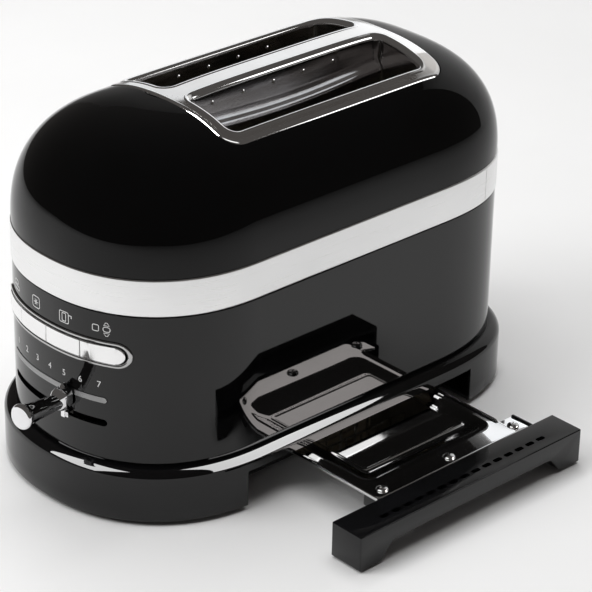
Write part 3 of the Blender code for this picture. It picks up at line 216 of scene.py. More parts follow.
SCREW_STEEL = finish("screw_steel", (0.7, 0.7, 0.7), (0.8, 0.8, 0.8), (0.08, 0.18), 1.0, scale=300,
                     bump=0.01 * MM)
ZINC = finish("zinc_sheet", (0.42, 0.42, 0.43), (0.58, 0.58, 0.58), (0.3, 0.5), 1.0, scale=90,
              bump=0.03 * MM, fine=700, fine_bump=0.004 * MM)
MATT_BLACK = finish("matt_black_plastic", grey(0.012), grey(0.02), (0.42, 0.6), scale=80,
                    bump=0.02 * MM, fine=1800, fine_bump=0.02 * MM)
RUBBER = finish("foot_rubber", grey(0.014), grey(0.026), (0.65, 0.85), scale=120,
                bump=0.05 * MM, fine=1500, fine_bump=0.03 * MM)
MICA = finish("mica_card", (0.4, 0.34, 0.25), (0.55, 0.49, 0.38), (0.35, 0.6), scale=160,
              stretch=(1, 1, 3), bump=0.05 * MM, fine=900, fine_bump=0.02 * MM)
NICHROME = finish("oxidised_ribbon", (0.2, 0.17, 0.15), (0.36, 0.32, 0.3), (0.3, 0.5), 1.0, scale=400,
                  bump=0.01 * MM)
BOARD = finish("circuit_board", (0.01, 0.07, 0.03), (0.02, 0.11, 0.045), (0.3, 0.45), scale=200,
               bump=0.03 * MM, fine=1200, fine_bump=0.01 * MM)
INK = finish("white_print", (0.72, 0.72, 0.72), (0.82, 0.82, 0.82), (0.35, 0.5), scale=500, bump=0.005 * MM)


# ---------------------------------------------------------------- pieces


def mesh_object(name, bm):
    """Put a mesh in the scene and free its source."""
    mesh = bpy.data.meshes.new(name)
    bm.to_mesh(mesh)
    bm.free()
    made = bpy.data.objects.new(name, mesh)
    bpy.context.scene.collection.objects.link(made)
    return made


def piece(name, bm, material, body, replaced=(), angle=32.0, modifiers=()):
    """Make a smooth-shaded mesh piece that rides on a CAD body and stands for CAD nodes."""
    bmesh.ops.recalc_face_normals(bm, faces=bm.faces)
    made = mesh_object(name, bm)
    for kind, settings in modifiers:
        modifier = made.modifiers.new(kind.lower(), kind)
        for key, value in settings.items():
            setattr(modifier, key, value)
    if modifiers:
        apply_modifiers(made)
    made.data.shade_smooth()
    made.data.set_sharp_from_angle(angle=math.radians(angle))
    made.data.materials.clear()
    made.data.materials.append(material)
    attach(made, body)
    if replaced:
        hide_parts(*replaced)
    return made


def apply_modifiers(made):
    graph = bpy.context.evaluated_depsgraph_get()
    mesh = bpy.data.meshes.new_from_object(made.evaluated_get(graph))
    made.modifiers.clear()
    made.data = mesh


def cutter(name, bm):
    """A closed mesh used only by a Boolean, removed by remove_cutters."""
    bmesh.ops.recalc_face_normals(bm, faces=bm.faces)
    made = mesh_object("cutter_" + name, bm)
    made.hide_render = True
    return made


def remove_cutters():
    for made in [o for o in bpy.data.objects if o.name.startswith("cutter_")]:
        bpy.data.objects.remove(made, do_unlink=True)


def cut(other, operation="DIFFERENCE"):
    return ("BOOLEAN", {"object": other, "operation": operation, "solver": "EXACT"})


def bevelled(width, segments=3, angle=40.0):
    return ("BEVEL", {"width": width, "segments": segments, "limit_method": "ANGLE",
                      "angle_limit": math.radians(angle), "harden_normals": False})


def loft(bm, rings, closed=True, cap_start=False, cap_end=False):
    """Join rings of points with quads, and return the rings of vertices."""
    loops = [[bm.verts.new(point) for point in ring] for ring in rings]
    count = len(loops[0])
    last = count if closed else count - 1
    for below, above in zip(loops, loops[1:]):
        for i in range(last):
            j = (i + 1) % count
            bm.faces.new((below[i], below[j], above[j], above[i]))
    if cap_start:
        bm.faces.new(loops[0][::-1])
    if cap_end:
        bm.faces.new(loops[-1])
    return loops


def extruded(outline, low, high, axis="Z"):
    """A closed bar with a flat outline, running from low to high along an axis."""
    place = {
        "Z": lambda p, h: (p[0], p[1], h),
        "Y": lambda p, h: (p[0], h, p[1]),
        "X": lambda p, h: (h, p[0], p[1]),
    }[axis]
    bm = bmesh.new()
    loft(bm, [[place(p, h) for p in outline] for h in (low, high)], cap_start=True, cap_end=True)
    return bm


def block(low, high):
    bm = bmesh.new()
    bmesh.ops.create_cube(bm, size=1.0)
    low, high = Vector(low), Vector(high)
    bmesh.ops.scale(bm, vec=high - low, verts=bm.verts)
    bmesh.ops.translate(bm, vec=(low + high) / 2, verts=bm.verts)
    return bm


def merged(*parts):
    bm = bmesh.new()
    for part in parts:
        mesh = bpy.data.meshes.new("part")
        part.to_mesh(mesh)
        part.free()
        bm.from_mesh(mesh)
        bpy.data.meshes.remove(mesh)
    return bm


def turned(profile, place, steps=40):
    """Revolve a profile of (radius, height) about local Z."""
    bm = bmesh.new()
    rings = []
    for radius, height in profile:
        radius = max(radius, 0.001 * MM)
        rings.append([
            place @ Vector((radius * math.cos(a), radius * math.sin(a), height))
            for a in (2 * math.pi * i / steps for i in range(steps))
        ])
    loft(bm, rings, cap_start=True, cap_end=True)
    return bm


def wire(bm, points, radius, sides=8, closed=False):
    """A round wire through points, with mitred turns and closed ends."""
    points = [Vector(p) for p in points]
    count = len(points)
    rings = []
    side = None
    for i, point in enumerate(points):
        back = points[i] - points[i - 1] if closed or i else None
        ahead = points[(i + 1) % count] - points[i] if closed or i < count - 1 else None
        along = (back.normalized() if back else Vector()) + (ahead.normalized() if ahead else Vector())
        along.normalize()
        if side is None:
            side = along.orthogonal().normalized()
        side = (side - along * side.dot(along)).normalized()
        other = along.cross(side)
        rings.append([
            point + (side * math.cos(a) + other * math.sin(a)) * radius
            for a in (2 * math.pi * k / sides for k in range(sides))
        ])
    if closed:
        rings.append(rings[0])
    loft(bm, rings, cap_start=not closed, cap_end=not closed)
    if closed:
        bmesh.ops.remove_doubles(bm, verts=bm.verts, dist=0.001 * MM)


def set_normals(made, direction, spread=0.3):
    """Shade a surface by its exact normals wherever the mesh runs close to them."""
    mesh = made.data
    normals = [Vector()] * len(mesh.loops)
    for polygon in mesh.polygons:
        for index in polygon.loop_indices:
            exact = direction(mesh.vertices[mesh.loops[index].vertex_index].co)
            if exact is not None and exact.dot(polygon.normal) > 1 - spread / 2:
                normals[index] = exact
    mesh.normals_split_custom_set(normals)


# ---------------------------------------------------------------- outlines


def signed_power(value, power):
    return math.copysign(abs(value) ** power, value)


def even_angles(depth, power):
    """Angles that cut a rounded end into runs of equal length."""
    dense = np.linspace(0, math.pi, 4001)
    x = HALF_WIDTH * np.sign(np.cos(dense)) * np.abs(np.cos(dense)) ** (2 / power)
    y = depth * np.sin(dense).clip(0) ** (2 / power)
    run = np.concatenate([[0], np.cumsum(np.hypot(np.diff(x), np.diff(y)))])
    return list(np.interp(np.linspace(0, run[-1], END_STEPS + 1), run, dense))


ENDS = (
    (REAR_Y0, REAR_DEPTH, REAR_POWER, 0.0, even_angles(REAR_DEPTH, REAR_POWER)),
    (FRONT_Y0, FRONT_DEPTH, FRONT_POWER, math.pi, even_angles(FRONT_DEPTH, FRONT_POWER)),
)


def body_outline(offset=0.0):
    """Plan outline, counter-clockwise from the +X side, with the straight sides cut in runs."""
    points = []
    for middle, depth, power, start, angles in ENDS:
        for angle in angles:
            x = (HALF_WIDTH + offset) * signed_power(math.cos(start + angle), 2 / power)
            y = middle + (depth + offset) * signed_power(math.sin(start + angle), 2 / power)
            points.append((x, y))
        near, far = (REAR_Y0, FRONT_Y0) if start == 0.0 else (FRONT_Y0, REAR_Y0)
        side = -1 if start == 0.0 else 1
        for i in range(1, 12):
            points.append((side * (HALF_WIDTH + offset), near + (far - near) * i / 12))
    return points


def reach_at(x, y):
    """How far out a plan point lies: 0 on the middle line, 1 on the outline."""
    if y > REAR_Y0:
        beyond, power = (y - REAR_Y0) / REAR_DEPTH, REAR_POWER
    else:
        beyond, power = max(FRONT_Y0 - y, 0.0) / FRONT_DEPTH, FRONT_POWER
    return ((abs(x) / HALF_WIDTH) ** power + beyond ** power) ** (1 / power)


def plan_gradient(x, y):
    """Outward direction of the outline through a plan point."""
    if y > REAR_Y0:
        depth, power, beyond = REAR_DEPTH, REAR_POWER, y - REAR_Y0
    else:
        depth, power, beyond = FRONT_DEPTH, FRONT_POWER, min(y - FRONT_Y0, 0.0)
    gx = signed_power(x, power - 1) / HALF_WIDTH ** power
    gy = signed_power(beyond, power - 1) / depth ** power
    return gx, gy


def wall_normal(co):
    gx, gy = plan_gradient(co.x, co.y)
    return Vector((gx, gy, 0)).normalized() if gx or gy else None


DOME_BASE = DOME_LOW.z
DOME_RISE = DOME_TOP - DOME_BASE


def dome_height(x, y, offset=0.0):
    reach = min(reach_at(x, y), 1.0)
    return DOME_BASE + (DOME_RISE + offset) * (1 - reach ** DOME_POWER) ** (1 / DOME_POWER)


def dome_normal(co):
    reach = reach_at(co.x, co.y)
    gx, gy = plan_gradient(co.x, co.y)
    power = FRONT_POWER if co.y <= REAR_Y0 else REAR_POWER
    lift = max(co.z - DOME_BASE, 0.0) / DOME_RISE
    share = reach ** (DOME_POWER - power) if reach > 1e-6 else 0.0
    return Vector((gx * share, gy * share, lift ** (DOME_POWER - 1) / DOME_RISE)).normalized()


def arc(centre, radius, start, end, steps):
    turns = [math.radians(start + (end - start) * step / steps) for step in range(steps + 1)]
    return [(centre[0] + radius * math.cos(a), centre[1] + radius * math.sin(a)) for a in turns]


def rounded_box(centre, width, height, radius, steps=8, runs=1):
    """Rounded rectangle, counter-clockwise, with each side cut into runs."""
    x, y = width / 2 - radius, height / 2 - radius
    points = []
    for sx, sy, start in ((1, 1, 0), (-1, 1, 90), (-1, -1, 180), (1, -1, 270)):
        points += arc((centre[0] + sx * x, centre[1] + sy * y), radius, start, start + 90, steps)
        if runs > 1:
            turn = math.radians(start + 90)
            along = (-math.sin(turn), math.cos(turn))
            length = 2 * (x if start in (0, 180) else y)
            px, py = points[-1]
            points += [
                (px + along[0] * length * i / runs, py + along[1] * length * i / runs)
                for i in range(1, runs)
            ]
    return points


def even_loop(points, count):
    """Resample a closed outline into points an equal distance apart."""
    closed = np.array(points + points[:1])
    run = np.concatenate([[0], np.cumsum(np.hypot(*np.diff(closed, axis=0).T))])
    at = np.arange(count) / count * run[-1]
    return np.column_stack([np.interp(at, run, closed[:, 0]), np.interp(at, run, closed[:, 1])])


# ---------------------------------------------------------------- dome and slot frame

FRAME_CENTRE = ((FRAME_LOW.x + FRAME_HIGH.x) / 2, (FRAME_LOW.y + FRAME_HIGH.y) / 2)
FRAME_SIZE = (FRAME_HIGH.x - FRAME_LOW.x, FRAME_HIGH.y - FRAME_LOW.y)
FRAME_CORNER = 12.0 * MM
FRAME_CROWN = 2.0 * MM
RIM_RISE = 0.35 * MM  # of the slot rims above the plate
FRAME_PROUD = FRAME_HIGH.z - DOME_TOP - FRAME_CROWN - RIM_RISE
FRAME_GAP = 0.25 * MM
EDGE_ROLL = 0.5 * MM


def frame_outline(grow):
    return rounded_box(
        FRAME_CENTRE, FRAME_SIZE[0] + 2 * grow, FRAME_SIZE[1] + 2 * grow, FRAME_CORNER + grow, 12, 24
    )


def start_on_side(points):
    """Turn an outline's list so that it starts where it crosses +X at the frame's middle."""
    index = min(
        range(len(points)), key=lambda i: abs(points[i][1] - FRAME_CENTRE[1]) + (points[i][0] < 0) * 1.0
    )
    return points[index:] + points[:index]


def frame_height(x, y):
    """Top of the chrome frame: it follows the dome and is crowned between the slots."""
    across = 1 - (2 * x / FRAME_SIZE[0]) ** 2
    along = 1 - (2 * (y - FRAME_CENTRE[1]) / FRAME_SIZE[1]) ** 4
    return dome_height(x, y, FRAME_PROUD) + FRAME_CROWN * max(across, 0.0) * max(along, 0.0)


def frame_normal(co):
    step = 0.05 * MM
    dx = frame_height(co.x + step, co.y) - frame_height(co.x - step, co.y)
    dy = frame_height(co.x, co.y + step) - frame_height(co.x, co.y - step)
    return Vector((-dx, -dy, 2 * step)).normalized()


def moved_in(point, shift):
    """A plan point of the outline, moved inwards along its normal."""
    gx, gy = plan_gradient(point.x, point.y)
    inward = -Vector((gx, gy)).normalized() * shift
    return point.x + inward.x, point.y + inward.y


def dome_skin():
    """The dome from the frame's hole out to its rounded lower edge, with the wall's thickness turned in."""
    around, up = 300, 44
    inner = even_loop(start_on_side(frame_outline(FRAME_GAP)), around)
    outer = even_loop(start_on_side(body_outline()), around)
    rings = []
    for step in range(up + 1):
        ring = []
        for (ix, iy), (ox, oy) in zip(inner, outer):
            first = math.acos(min(reach_at(ix, iy), 1.0) ** (DOME_POWER / 2))
            wanted = math.cos(first * (1 - step / up)) ** (2 / DOME_POWER)
            low, high = 0.0, 1.0
            for _ in range(22):
                middle = (low + high) / 2
                if reach_at(ix + (ox - ix) * middle, iy + (oy - iy) * middle) < wanted:
                    low = middle
                else:
                    high = middle
            x, y = ix + (ox - ix) * high, iy + (oy - iy) * high
            if step == up:
                x, y = ox, oy
            ring.append((x, y, dome_height(x, y)))
        rings.append(ring)
    rings = [[(x, y, z - drop) for x, y, z in rings[0]] for drop in (WALL, 0.25 * MM)] + rings
    bottom = [Vector((x, y)) for x, y in outer]
    for turn in (30, 60, 90):
        shift = EDGE_ROLL * (1 - math.cos(math.radians(turn)))
        drop = EDGE_ROLL * math.sin(math.radians(turn))
        rings.append([(*moved_in(point, shift), DOME_BASE + EDGE_ROLL - drop) for point in bottom])
    rings = [[(x, y, max(z, DOME_BASE + (EDGE_ROLL if i < len(rings) - 3 else 0.0))) for x, y, z in ring]
             for i, ring in enumerate(rings)]
    rings.append([(*moved_in(point, WALL), DOME_BASE) for point in bottom])
    bm = bmesh.new()
    loft(bm, rings)
    made = piece("dome_skin", bm, DOME_ENAMEL, "casing", ["upper_shell"])
    set_normals(made, dome_normal)


SLOT_X = (LINER_LOW.x + LINER_HIGH.x) / 2
SLOT_Y = (LINER_LOW.y + LINER_HIGH.y) / 2
LINER_GROW = 1.1 * MM
SLOT_WIDTH = LINER_HIGH.x - LINER_LOW.x - 2 * LINER_GROW
SLOT_LENGTH = LINER_HIGH.y - LINER_LOW.y - 2 * LINER_GROW
SLOT_CORNER = 5.0 * MM
RIM_WIDTH = 4.2 * MM
RIM_DEPTH = 4.0 * MM


def slot_outline(side, grow, grow_x=None):
    grow_x = grow if grow_x is None else grow_x
    return rounded_box(
        (side * SLOT_X, SLOT_Y), SLOT_WIDTH + 2 * grow_x, SLOT_LENGTH + 2 * grow,
        SLOT_CORNER + grow_x, 8, 28,
    )


def frame_loft(outline, profile):
    """Sweep a section, (outward, upward) pairs in millimetres, along an outline on the frame's surface."""
    bm = bmesh.new()
    loft(bm, [[(x, y, frame_height(x, y) + h * MM) for x, y in outline(d * MM)] for d, h in profile])
    return bm


def slot_frame():
    """Chrome plate that follows the dome, with a rolled edge outside and rolled rims at the slots."""
    half_x, half_y = FRAME_SIZE[0] / 2 + 3 * MM, FRAME_SIZE[1] / 2 + 3 * MM
    columns, rows = 40, 56
    bm = bmesh.new()
    for under in (0.0, 1.6 * MM):
        grid = []
        for j in range(rows + 1):
            y = FRAME_CENTRE[1] - half_y + 2 * half_y * j / rows
            line = []
            for i in range(columns + 1):
                x = -half_x + 2 * half_x * i / columns
                line.append(bm.verts.new((x, y, frame_height(x, y) - under)))
            grid.append(line)
        for j in range(rows):
            for i in range(columns):
                bm.faces.new((grid[j][i], grid[j][i + 1], grid[j + 1][i + 1], grid[j + 1][i]))
        if under == 0.0:
            top = grid
    for a, b in ((top[0], grid[0]), (top[-1], grid[-1])):
        for i in range(columns):
            bm.faces.new((a[i], a[i + 1], b[i + 1], b[i]))
    for column in (0, -1):
        for j in range(rows):
            bm.faces.new((top[j][column], top[j + 1][column], grid[j + 1][column], grid[j][column]))
    keep = cutter("plate", extruded(frame_outline(-2.3 * MM), 0.1, 0.3))
    holes = [
        cutter(f"slot_{side}", extruded(slot_outline(side, RIM_WIDTH - 0.05 * MM), 0.1, 0.3)) for side in (-1, 1)
    ]
    plate = piece("slot_plate", bm, FRAME_CHROME, "casing", ["slot_frame"],
                  modifiers=[cut(keep, "INTERSECT"), cut(holes[0]), cut(holes[1])])
    set_normals(plate, frame_normal)
    edge = frame_loft(frame_outline, [
        (-2.4, -0.02), (-1.9, 0.03), (-1.4, 0.0), (-0.95, -0.12), (-0.55, -0.35), (-0.25, -0.7), (-0.06, -1.15),
        (0.0, -1.6), (0.0, -2.2),
    ])
    made = [plate, piece("slot_plate_edge", edge, CHROME, "casing")]
    for side, name in ((-1, "left"), (1, "right")):
        rim = frame_loft(lambda grow: slot_outline(side, grow), [
            (4.3, -0.1), (3.9, 0.12), (3.5, 0.28), (3.0, 0.34), (2.5, 0.28), (2.0, 0.08), (1.5, -0.25),
            (1.05, -0.7), (0.65, -1.25), (0.35, -1.85), (0.12, -2.6), (0.0, -3.4), (0.0, -4.3),
        ])
        made.append(piece(f"slot_rim_{name}", rim, CHROME, "casing"))
    return made


STUD_PITCH = 22.0 * MM
STUD_DROP = 4.5 * MM


def slot_liners():
    """Bright sheet throats with a curved crease that narrows them, and a row of pressed studs."""
    crease = [(5.0, 0.0), (9.0, 0.05), (10.5, 0.3), (12.0, 0.9), (13.2, 1.7), (14.2, 2.6), (15.2, 3.2), (16.6, 3.5),
              (20.0, 3.55), (30.0, 3.6), (None, 3.6)]
    stud_profile = in_mm([(1.3, -0.3), (1.25, 0.05), (1.0, 0.35), (0.6, 0.55), (0.2, 0.62)])
    top = frame_height(SLOT_X - SLOT_WIDTH / 2, SLOT_Y) - RIM_DEPTH
    bottom = LINER_LOW.z
    throats, studs = [], []
    for side, name in ((-1, "left"), (1, "right")):
        bm = bmesh.new()
        rings = [[(x, y, frame_height(x, y) - RIM_DEPTH) for x, y in slot_outline(side, 0.05 * MM)]]
        for depth, narrow in crease:
            ring = []
            for x, y in slot_outline(side, 0.0, -narrow * MM):
                along = (y - SLOT_Y) / (SLOT_LENGTH / 2)
                dip = 4.5 * MM * (1 - along * along)
                start = frame_height(x, y) - RIM_DEPTH
                if depth is None:
                    z = bottom
                else:
                    levelling = (min(top, start) - start) * depth / 30.0
                    z = start + levelling - (depth * MM + dip * min(depth / 12.0, 1.0))
                ring.append((x, y, max(z, bottom)))
            rings.append(ring)
        loft(bm, rings)
        throats.append(
            piece(f"slot_throat_{name}", bm, LINER_STEEL, "casing", [f"slot_liner_{name}"])
        )
        rows = bmesh.new()
        for wall in (-1, 1):
            for i in range(5):
                y = SLOT_Y + (i - 2.4) * STUD_PITCH
                x = side * SLOT_X + wall * (SLOT_WIDTH / 2 - 0.02 * MM)
                z = frame_height(x, y) - RIM_DEPTH - STUD_DROP
                turn = Matrix.Rotation(-wall * math.pi / 2, 4, "Y")
                rows = merged(rows, turned(stud_profile, Matrix.Translation((x, y, z)) @ turn, 14))
        studs.append(piece(f"slot_studs_{name}", rows, CHROME, "casing"))
    return throats, studs


# ---------------------------------------------------------------- walls


def on_wall(x, z, out=0.0):
    """A point of the front wall, moved outwards along the wall's normal."""
    y = FRONT_Y0 - FRONT_DEPTH * (1 - (abs(x) / HALF_WIDTH) ** FRONT_POWER) ** (1 / FRONT_POWER)
    normal = wall_normal(Vector((x, y, z)))
    return Vector((x, y, z)) + normal * out


def bend(bm, pitch=1.2 * MM):
    """Wrap a flat mesh, X across, Z up and Y outwards, round the front wall."""
    low = min(v.co.x for v in bm.verts)
    high = max(v.co.x for v in bm.verts)
    count = int((high - low) / pitch)
    for i in range(1, count):
        bmesh.ops.bisect_plane(
            bm, geom=bm.verts[:] + bm.edges[:] + bm.faces[:], plane_co=(low + (high - low) * i / count, 0, 0),
            plane_no=(1, 0, 0), dist=0.0001 * MM,
        )
    for vert in bm.verts:
        vert.co = on_wall(vert.co.x, vert.co.z, vert.co.y)
    return bm


def stadium(centre_z, length, height, grow=0.0, steps=12):
    """Outline with round ends; the radius stays just short of half the height, so no two corners meet."""
    radius = (height / 2 + grow) * 0.999
    return rounded_box((0, centre_z), length + 2 * grow, height + 2 * grow, radius, steps)


BEZEL_Z = (BEZEL_LOW.z + BEZEL_HIGH.z) / 2
BEZEL_LENGTH = BEZEL_HIGH.x - BEZEL_LOW.x
BEZEL_HEIGHT = BEZEL_HIGH.z - BEZEL_LOW.z
BEZEL_RIM = 2.3 * MM
TRACK_Z = (TRACK_LOW.z + TRACK_HIGH.z) / 2
TRACK_LENGTH = TRACK_HIGH.x - TRACK_LOW.x
TRACK_HEIGHT = TRACK_HIGH.z - TRACK_LOW.z
LEVER_SLOT_Z = 56.3 * MM
LEVER_SLOT_HEIGHT = 4.2 * MM


def wall_loft(profile):
    """Sweep a closed section, (outward offset, z) pairs, round the body."""
    bm = bmesh.new()
    loops = loft(bm, [[(x, y, z) for x, y in body_outline(offset)] for offset, z in profile])
    for i in range(len(loops[0])):
        j = (i + 1) % len(loops[0])
        bm.faces.new((loops[-1][i], loops[-1][j], loops[0][j], loops[0][i]))
    return bm


def wall_skin():
    low, high = WALL_LOW.z, WALL_HIGH.z
    outside = [(0.0, low), (0.0, high - 0.4 * MM), (-0.12 * MM, high - 0.12 * MM), (-0.4 * MM, high)]
    bm = wall_loft(outside + [(-WALL, high), (-WALL, low)])
    through = (-0.2, -0.09, "Y")
    groove = extruded(stadium(TRACK_Z, TRACK_LENGTH, TRACK_HEIGHT, 0.25 * MM), -1.0 * MM, 5 * MM, "Y")
    tools = [
        cutter("window", extruded(stadium(BEZEL_Z, BEZEL_LENGTH, BEZEL_HEIGHT, 0.15 * MM), *through)),
        cutter("lever_slot", extruded(stadium(LEVER_SLOT_Z, TRACK_LENGTH, LEVER_SLOT_HEIGHT), *through)),
        cutter("groove", bend(groove)),
        cutter("gland", turned([(6.2 * MM, -0.02), (6.2 * MM, 0.02)], gland_place(), 32)),
    ]
    made = piece("wall_skin", bm, WALL_ENAMEL, "casing", ["lower_shell"],
                 modifiers=[cut(t) for t in tools])
    set_normals(made, wall_normal, 0.1)


def gland_place():
    low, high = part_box("cord_gland")
    return Matrix.Translation(((low.x + high.x) / 2, WALL_HIGH.y, (low.z + high.z) / 2)) @ Matrix.Rotation(
        -math.pi / 2, 4, "X"
    )


def bands():
    """Crowned silver band with rounded edges, in two lengths that meet at the side seams."""
    proud = BAND_HIGH.x - HALF_WIDTH
    crown = in_mm([(0.9, 0.0), (0.45, 0.12), (0.14, 0.42), (0.02, 0.85), (0.0, 1.3)])
    half = [(proud - inset, BAND_LOW.z + rise) for inset, rise in [(WALL, 0.0)] + crown]
    profile = half + [(o, BAND_LOW.z + BAND_HIGH.z - z) for o, z in half[::-1]]
    seam = (BAND_HIGH.y + REAR_BAND_LOW.y) / 2
    gap = (REAR_BAND_LOW.y - BAND_HIGH.y) / 2
    for name, node, near, far in (
        ("band", "trim_band", -0.3, seam - gap),
        ("rear_band", "rear_trim_band", seam + gap, 0.3),
    ):
        bm = wall_loft(profile)
        keep = cutter(name, block((-0.2, near, 0.0), (0.2, far, 0.3)))
        piece(name, bm, BAND_SILVER, "casing", [node], modifiers=[cut(keep, "INTERSECT")])


def plinth_skin():
    flare = PLINTH_HIGH.x - HALF_WIDTH
    low, top = PLINTH_LOW.z, PLINTH_HIGH.z
    shoulder = top - 6.05 * MM
    profile = [(flare - 0.9 * MM, low), (flare - 0.3 * MM, low + 0.2 * MM), (flare, low + 0.9 * MM)]
    profile += [(flare, low + 8 * MM), (flare, low + 16 * MM)]
    for degrees in range(0, 91, 6):
        angle = math.radians(degrees)
        profile.append((flare * math.cos(angle), shoulder + (top - shoulder) * math.sin(angle)))
    profile += [(-3 * MM, top), (-3 * MM, top - 2.2 * MM)]
    wall = 2.4 * MM
    profile += [(flare - wall - 1.5 * MM, shoulder), (flare - wall, shoulder - 3 * MM), (flare - wall, low)]
    bm = wall_loft(profile)
    bay_low, bay_high = HANDLE_LOW.y - 1.2 * MM, HANDLE_HIGH.y + 1.2 * MM
    ceiling = HANDLE_HIGH.z + 2.0 * MM
    bay = cutter("bay", block((HALF_WIDTH / 2, bay_low, -0.1), (0.2, bay_high, ceiling)))
    return piece("plinth_skin", bm, PLINTH_BLACK, "casing", ["base_plinth"],
                 angle=24, modifiers=[cut(bay)])


# ---------------------------------------------------------------- control panel

KEYS = ("warm", "defrost", "sandwich", "bagel")
KEY_BEVEL = 0.45 * MM
KEY_FRONT = 1.3 * MM
KEY_HALF = BEZEL_HEIGHT / 2 - BEZEL_RIM - 0.4 * MM
KEY_END_GAP = 0.35 * MM  # keeps the end keys clear of the bezel's round ends when they are pressed


def bezel():
    """Polished rim with a rounded section."""
    rim = [(0.0, -1.2), (0.0, 0.35), (-0.15, 0.7), (-0.45, 0.93), (-0.9, 1.0), (-1.4, 0.95), (-1.85, 0.72),
           (-2.15, 0.3), (-2.3, -0.3), (-2.3, -2.3)]
    bm = bmesh.new()
    loft(bm, [
        [(x, h * MM, z) for x, z in stadium(BEZEL_Z, BEZEL_LENGTH, BEZEL_HEIGHT, d * MM, 16)] for d, h in rim
    ])
    bend(bm)
    piece("bezel", bm, BEZEL_CHROME, "casing", ["control_bezel"])


def round_front(bm, front, radius, segments):
    """Round the edges that lie in the plane y = front."""
    edges = [e for e in bm.edges if all(abs(v.co.y - front) < 1e-6 for v in e.verts)]
    bmesh.ops.bevel(bm, geom=edges, offset=radius, segments=segments, profile=0.5, affect="EDGES")


def keys():
    for index, key in enumerate(KEYS):
        low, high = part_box(key + "_button")
        left, right = low.x, high.x
        bottom, top = BEZEL_Z - KEY_HALF, BEZEL_Z + KEY_HALF
        if index == 0:
            centre = (left + KEY_END_GAP + KEY_HALF, BEZEL_Z)
            outline = arc(centre, KEY_HALF, 90, 270, 16) + [(right, bottom), (right, top)]
        elif index == len(KEYS) - 1:
            centre = (right - KEY_END_GAP - KEY_HALF, BEZEL_Z)
            outline = arc(centre, KEY_HALF, -90, 90, 16) + [(left, top), (left, bottom)]
        else:
            outline = rounded_box(((left + right) / 2, BEZEL_Z), right - left, 2 * KEY_HALF, 0.5 * MM, 3)
        bm = extruded(outline, -3.6 * MM, KEY_FRONT, "Y")
        round_front(bm, KEY_FRONT, KEY_BEVEL, 3)
        bend(bm)
        piece(f"{key}_key_cap", bm, KEY_SILVER, f"{key}_key", [f"{key}_button"])


def track_and_print():
    bm = extruded(stadium(TRACK_Z, TRACK_LENGTH, TRACK_HEIGHT), -0.8 * MM, 0.3 * MM, "Y")
    round_front(bm, 0.3 * MM, 0.3 * MM, 2)
    piece("browning_scale_bar", bend(bm), TRACK_SILVER, "casing", ["browning_track"])
    digits()
    icons()


DIGIT_Z = 78.9 * MM
DIGIT_X = -31.7 * MM
DIGIT_PITCH = 11.02 * MM
PRINT_THICKNESS = 0.05 * MM


def digits():
    """The scale's numbers 1 to 7, printed on the wall above the bar."""
    for value in range(1, 8):
        curve = bpy.data.curves.new(f"digit_{value}", "FONT")
        curve.body = str(value)
        curve.size = 5.2 * MM
        curve.align_x = "CENTER"
        curve.align_y = "CENTER"
        curve.resolution_u = 4
        curve.extrude = PRINT_THICKNESS / 2
        text = bpy.data.objects.new(f"digit_{value}", curve)
        bpy.context.scene.collection.objects.link(text)
        graph = bpy.context.evaluated_depsgraph_get()
        mesh = bpy.data.meshes.new_from_object(text.evaluated_get(graph))
        bpy.data.objects.remove(text, do_unlink=True)
        bm = bmesh.new()
        bm.from_mesh(mesh)
        bpy.data.meshes.remove(mesh)
        place_print(bm, f"scale_number_{value}", DIGIT_X + (value - 1) * DIGIT_PITCH, DIGIT_Z)


def place_print(bm, name, x, z):
    for vert in bm.verts:
        across, up, out = vert.co
        vert.co = (x + across, out + PRINT_THICKNESS / 2 + 0.02 * MM, z + up)
    piece(name, bend(bm, 1.0 * MM), INK, "casing")


def strip_loop(bm, outline, width):
    """A printed line along a closed outline in the XY plane."""
    inner = offset_loop(outline, -width / 2)
    outer = offset_loop(outline, width / 2)
    levels = (-PRINT_THICKNESS / 2, PRINT_THICKNESS / 2)
    for z in levels:
        loft(bm, [[(x, y, z) for x, y in inner], [(x, y, z) for x, y in outer]])
    for edge in (outer, inner):
        loft(bm, [[(x, y, z) for x, y in edge] for z in levels])
    bmesh.ops.remove_doubles(bm, verts=bm.verts, dist=0.0005 * MM)


def offset_loop(outline, distance):
    moved = []
    count = len(outline)
    for i, (x, y) in enumerate(outline):
        before, after = outline[i - 1], outline[(i + 1) % count]
        dx, dy = after[0] - before[0], after[1] - before[1]
        length = math.hypot(dx, dy)
        moved.append((x + dy / length * distance, y - dx / length * distance))
    return moved


def arrow_outline(x, way):
    """Blunt triangle above or below the ring roll."""
    points = [(-1.5, 2.2), (1.5, 2.2), (0.35, 3.9), (-0.35, 3.9)]
    return [(x + px * MM, way * pz * MM) for px, pz in points][::way]


